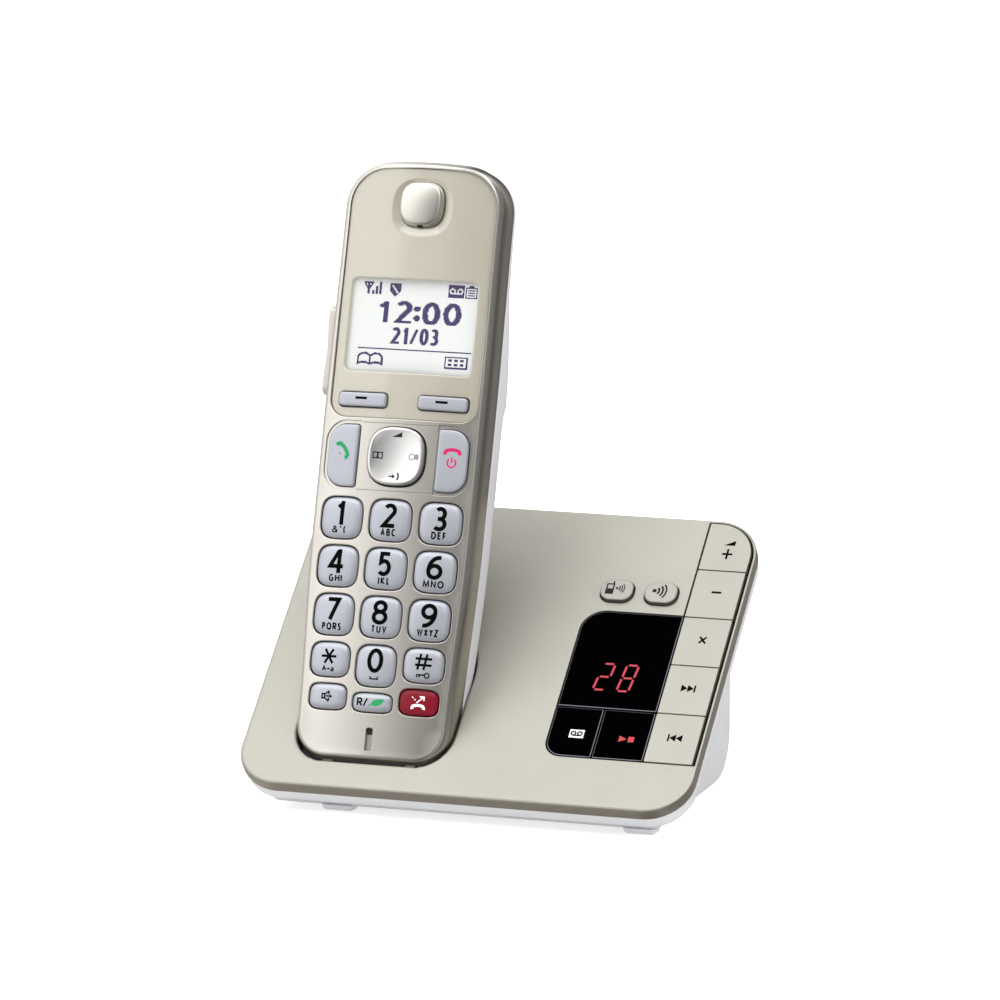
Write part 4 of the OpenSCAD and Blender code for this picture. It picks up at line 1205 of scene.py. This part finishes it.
def flat_cap(name, slot, bevel):
    """A flat key or window with a narrow bevel round its top."""
    skin = Skin()
    low = bevel * 0.35
    rings = skin.lip(BASE_KEYS[name], ((0, -1.5), (0, -bevel), (-low, -low), (-bevel, 0)))
    glossy = slot == "black_gloss"
    skin.strips(rings[:2])
    # on black pieces the bevel takes the pale metal: painted highlight
    skin.strips(rings[1:], 1 if glossy else 0)
    skin.fill(rings[-1], (), 0.0, 5.0)
    tones = ("bevel_painted_highlight",) if glossy else ()
    skin.make(name + "_cap", PLATE, BODY_OF[name], slot, name, tones=tones, crease=30)


def base_keys():
    for name in ("volume_up_key", "volume_down_key", "erase_key", "next_key", "previous_key"):
        flat_cap(name, "champagne_satin", 0.14)
    for name in ("message_key", "play_key", "display_window"):
        flat_cap(name, "black_gloss", 0.3)
    middle = (COLUMN_U + COLUMN_RIGHT) / 2
    plus = Ink().poly([(middle - 1.4, 96.95), (middle + 1.8, 96.95), (middle + 1.8, 98.75)])
    for v, w, h in ((93.75, 3.0, 0.7), (94.85, 0.62, 1.5), (92.65, 0.62, 1.5)):
        plus.box(middle + 0.15, v, w, h)
    plus.lay("legend_volume_up", PLATE, "volume_up_key", "black")
    Ink().box(middle + 0.2, 79.5, 2.9, 0.7).lay("legend_volume_down", PLATE, "volume_down_key", "black")
    x, y = middle + 0.1, 61.95
    cross = Ink()
    for a, b, c, d in ((-1.0, -1.15, 1.0, 1.15), (-1.0, 1.15, -0.2, 0.23), (0.2, -0.23, 1.0, -1.15)):
        cross.stroke([(x + a, y + b), (x + c, y + d)], 0.6)
    cross.lay("legend_erase", PLATE, "erase_key", "black")
    for name, u, v, way in (("next", middle - 0.2, 44.35, 1), ("previous", middle + 0.25, 26.55, -1)):
        skip = Ink()
        for k in (-2.0, -0.1):
            skip.poly([(u + way * k, v - 1.25), (u + way * (k + 1.9), v), (u + way * k, v + 1.25)][::way])
        skip.box(u + way * 2.05, v, 0.5, 2.5)
        skip.lay("legend_" + name, PLATE, name + "_key", "black")
    play = Ink().poly([(43.0, 23.75), (45.35, 24.85), (43.0, 25.95)]).box(46.6, 24.85, 1.75, 1.9)
    play.lay("legend_play", PLATE, "play_key", "red")
    u, v = 30.3, 25.5
    Ink().box(u, v, 4.3, 2.9).lay("legend_message", PLATE, "message_key", "white")
    reels = Ink().box(u, v - 0.65, 1.9, 0.4)
    for side in (-1, 1):
        reels.arc(u + side * 0.95, v + 0.1, 0.66, 0, 360, 0.44)
    reels.lay("legend_message_reels", PLATE, "message_key", "black", lift=0.06)


SEGMENTS = {"a": (0, 2, 1, 2), "d": (0, 0, 1, 0), "g": (0, 1, 1, 1), "b": (1, 1, 1, 2), "c": (1, 0, 1, 1),
            "e": (0, 0, 0, 1), "f": (0, 1, 0, 2)}
SEGMENT_W, SEGMENT_H, SEGMENT_THICK, SEGMENT_GAP, SEGMENT_POINT = 3.5, 4.7, 0.66, 0.32, 0.3
LED_V, LED_SLANT = 41.7, 0.12


def led_digits():
    """Two slanted seven-segment digits seen through the black window."""
    ink = Ink()
    for u, lit in ((31.15, "abged"), (38.2, "abcdefg")):
        for name in lit:
            x0, y0, x1, y1 = SEGMENTS[name]
            a, b = Vector((x0 * SEGMENT_W, y0 * SEGMENT_H)), Vector((x1 * SEGMENT_W, y1 * SEGMENT_H))
            along = (b - a).normalized()
            across = Vector((-along.y, along.x)) * SEGMENT_THICK / 2
            a, b = a + along * SEGMENT_GAP, b - along * SEGMENT_GAP
            start, end = a + along * SEGMENT_POINT, b - along * SEGMENT_POINT
            shape = [a, start - across, end - across, b, end + across, start + across]
            ink.poly([(u + p.x + LED_SLANT * p.y, LED_V + p.y) for p in shape])
    ink.lay("message_count", PLATE, "base", "led", 0.0, "led_red")


def round_keys():
    for name, (u, v) in ROUND_KEYS.items():
        where = PLATE @ Matrix.Translation((u, v, 0))
        outline = box_outline(0, 0, 9.6, 7.6, 3.2, 0.8)
        top = lambda x, y: 1.4 - 0.004 * (x * x + y * y)
        # the flanks take the dark finish: painted shade
        key_cap(name, outline, top, "round_key_grey", where, edge=0.45, side="round_key_painted_shade")
        ink = Ink()
        if name == "locator_key":
            ink.stroke([(-3.0, -1.8), (-1.0, -1.8), (-1.0, 1.6), (-3.0, 1.6)], 0.45, True)
            ink.box(-1.2, 2.2, 0.45, 1.0).box(-2.0, -0.9, 1.7, 1.7)
            waves(ink, 0.1, 0.2, 2.5)
        else:
            waves(ink, -1.9, 0.2, 4.0)
        ink.lay("legend_" + name, where, name, "grey", top)


# ---- Lower case ----

BOTTOM_Z = -7.3
BACK_Y = 82.3
WEDGE_HALF, WEDGE_ROUND = 58.0, 2.2


def tray():
    """The pale tray under the band, with a rounded lower edge."""
    skin = Skin()
    loop = grow(PLATE_LOOP, -TRAY_INSET)
    rings = skin.lip(loop, ((-1.0, 0.2), (-0.2, 0), (0, -0.2)), -BAND_H)
    low = -BAND_H - TRAY_H
    rings += skin.lip(loop, ((0, 2.2), (-0.15, 1.4), (-0.65, 0.65), (-1.5, 0.15), (-2.4, 0)), low)
    skin.strips(rings, turned=True)
    skin.fill(rings[-1], (), low, 9.0, down=True)
    skin.make("tray", PLATE, "base", "pale_plastic", "bottom_case")


BACK_CORNER_R = 14
BACK_LOW, BACK_HIGH = 14, 16         # the wedge outline's points at the ends of its flat back wall
TIP_SHARE = 0.4                      # the front tip is too thin for the whole inset
SPEAKER_SLOTS = [box_outline(-30, 34 + 3.2 * i, 26, 1.6, 0.75, 1.0) for i in range(-4, 5)]
SOCKET_MOUTHS = [squircle(22, 13, 6.8, 6.8, 2, 36), box_outline(3, 13.65, 10.8, 9.3, 0.5, 1.0)]


def wedge():
    """The wedge-shaped body: its back wall carries the speaker slots and the two sockets' openings."""
    side = axes(front_edge, Vector((0, 1, 0)), Vector((0, 0, 1)))   # x back, y up, z to the right
    skin = Skin()
    middle = (BACK_Y - BACK_CORNER_R, BOTTOM_Z + BACK_CORNER_R)
    corner = [(middle[0] + BACK_CORNER_R * math.cos(a), middle[1] + BACK_CORNER_R * math.sin(a))
              for a in np.radians(range(-90, 1, 9))]
    loop = np.array([*((y, BOTTOM_Z) for y in (9.5, 20, 40, 55)), *corner, (BACK_Y, 20), (BACK_Y, 40),
                     (BACK_Y, 57.0), (60, 38.8), (40, 22.0), (20, 5.3), (9.0, -4.0)])
    share = np.ones(len(loop))
    share[[0, -1]] = TIP_SHARE
    rounding = ((0, 2.2), (0.3, 1.1), (1.1, 0.3), (WEDGE_ROUND, 0))
    rings = [skin.ring(grow(loop, -inset * share), way * (WEDGE_HALF - z))
             for way, profile in ((-1, rounding), (1, rounding[::-1])) for z, inset in profile]
    for a, b in zip(rings, rings[1:]):
        for i, j in enumerate([*range(1, len(loop)), 0]):
            if a is not rings[3] or not BACK_LOW <= i < BACK_HIGH:
                skin.face((a[i], a[j], b[j], b[i]))
    skin.fill(rings[0], (), -WEDGE_HALF, 12.0, down=True)
    skin.fill(rings[-1], (), WEDGE_HALF, 12.0)
    skin.make("wedge_body", side, "base", "pale_plastic")
    wall = Skin()
    right = WEDGE_HALF - WEDGE_ROUND
    low, high = loop[BACK_LOW][1], loop[BACK_HIGH][1]
    edge = wall.ring(span_outline(-right, low, right, high, (0, 0, 0, 0), 8.0), 0.0)
    for outline in SPEAKER_SLOTS + SOCKET_MOUTHS:
        wall.hole(outline, ((0.25, 0.0), (0.07, -0.07), (0.0, -0.25), (0.0, -1.7)))
    wall.fill(edge, wall.holes, 0.0, 9.0)
    back = axes(front_edge + Vector((0, BACK_Y * MM, 0)), Vector((-1, 0, 0)), Vector((0, 0, 1)))
    wall.make("back_wall", back, "base", "pale_plastic")


def feet():
    for index, (x, y) in enumerate(((-38.5, 12), (52, 12), (-50, 60), (50, 60))):
        skin = Skin()
        rings = [skin.ring(box_outline(x, y, w, h, r), z) for w, h, r, z in
                 ((10, 6, 1.5, BOTTOM_Z + 0.02), (9.6, 5.6, 1.4, BOTTOM_Z - 0.9), (9.0, 5.0, 1.2, -8.75),
                  (8.4, 4.4, 1.0, -9.0))]
        skin.strips(rings, turned=True)
        skin.fill(rings[-1], (), -9.0, 3.0, down=True)
        skin.make(f"foot_{index + 1}", BASE, "base", "foot_rubber", *([] if index else ["rubber_feet"]))


for build in (front_shell, slot_floor, rear_shell, battery_cover, face_panel, screen, screen_marks, earpiece,
              number_keys, legends_below, soft_keys, call_keys, nav_key, side_key, top_cover, base_keys,
              led_digits, round_keys, tray, wedge, feet):
    build()
for name, part in frame["nodes"].items():
    part.data.materials.clear()
    part.data.materials.append(FINISHES[SLOT_OF[name]])

# ---- Floor, light and camera ----


FLOOR_HALF, FLOOR_STEPS = 6.0, 24


def floor():
    spots = [FLOOR_HALF * k / FLOOR_STEPS for k in range(-FLOOR_STEPS, FLOOR_STEPS + 1)]
    wide = len(spots)
    faces = [(j * wide + i, j * wide + i + 1, (j + 1) * wide + i + 1, (j + 1) * wide + i)
             for j in range(wide - 1) for i in range(wide - 1)]
    mesh = bpy.data.meshes.new("floor")
    mesh.from_pydata([(x, y, 0) for y in spots for x in spots], [], faces)
    mesh.materials.append(FINISHES["floor_paint"])
    ground = spawn("floor", mesh)
    ground.visible_glossy = False


def looking(name, data, azimuth, elevation, distance, aim):
    """A lamp or camera that looks at aim. Azimuth is in degrees to the right of the front."""
    a, e = math.radians(azimuth), math.radians(elevation)
    way = Vector((math.sin(a) * math.cos(e), -math.cos(a) * math.cos(e), math.sin(e)))
    made = spawn(name, data)
    made.location = Vector(aim) + way * distance
    made.rotation_euler = (-way).to_track_quat("-Z", "Y").to_euler()
    return made


LIGHT_AIM = (0, 0, 0.09)


def area_light(name, azimuth, elevation, distance, width, height, power):
    """A soft box."""
    lamp = bpy.data.lights.new(name, "AREA")
    lamp.shape, lamp.size, lamp.size_y, lamp.energy = "RECTANGLE", width, height, power
    return looking(name, lamp, azimuth, elevation, distance, LIGHT_AIM)


def world():
    """A studio that is bright on the left and above, and dark on the right and below."""
    sky = bpy.data.worlds.new("studio")
    bpy.context.scene.world = sky
    sky.use_nodes = True
    tree = sky.node_tree
    where = node(tree, "ShaderNodeTexCoord").outputs["Generated"]
    split = node(tree, "ShaderNodeSeparateXYZ", {"Vector": where})

    def ramp(source, tones):
        spread = node(tree, "ShaderNodeMapRange", {"Value": source, "From Min": -1.0, "From Max": 1.0})
        made = node(tree, "ShaderNodeValToRGB", {"Fac": spread.outputs[0]})
        while len(made.color_ramp.elements) < len(tones):
            made.color_ramp.elements.new(0.5)
        for element, (spot, tone) in zip(made.color_ramp.elements, tones):
            element.position, element.color = spot, (tone, tone, tone, 1)
        return made.outputs["Color"]

    sideways = ramp(split.outputs["X"], ((0.0, 1.2), (0.25, 1.5), (0.303, 1.5), (0.309, 0.95), (0.37, 0.72),
                                         (0.43, 0.05), (0.57, 0.05), (0.63, 0.9), (0.72, 0.9), (0.8, 0.2),
                                         (1.0, 0.3)))
    upwards = ramp(split.outputs["Z"], ((0.0, 0.4), (0.45, 0.45), (0.56, 0.8), (0.8, 1.0), (1.0, 1.1)))
    both = node(tree, "ShaderNodeVectorMath", {0: sideways, 1: upwards}, operation="MULTIPLY")
    tree.links.new(both.outputs[0], tree.nodes["Background"].inputs["Color"])


FOCAL_LENGTH, SENSOR, FARTHEST = 232.0, 36.0, 50
CAMERA_AIM = front_edge + Vector((13.8, 0, 86.7)) * MM
CAMERA_AZIMUTH, CAMERA_ELEVATION, CAMERA_DISTANCE = 18.3, 11.0, 1.8058


def camera():
    lens = bpy.data.cameras.new("camera")
    lens.lens, lens.sensor_width, lens.clip_end = FOCAL_LENGTH, SENSOR, FARTHEST
    bpy.context.scene.camera = looking("camera", lens, CAMERA_AZIMUTH, CAMERA_ELEVATION, CAMERA_DISTANCE,
                                       CAMERA_AIM)


floor()
area_light("key_box", -50, 40, 2.2, 1.9, 2.2, 4)
area_light("top_box", 5, 72, 2.2, 2.6, 2.4, 34)
area_light("right_box", 78, 20, 2.4, 1.0, 1.4, 25).visible_glossy = False
world()
camera()
bpy.context.scene.view_settings.view_transform = "Standard"
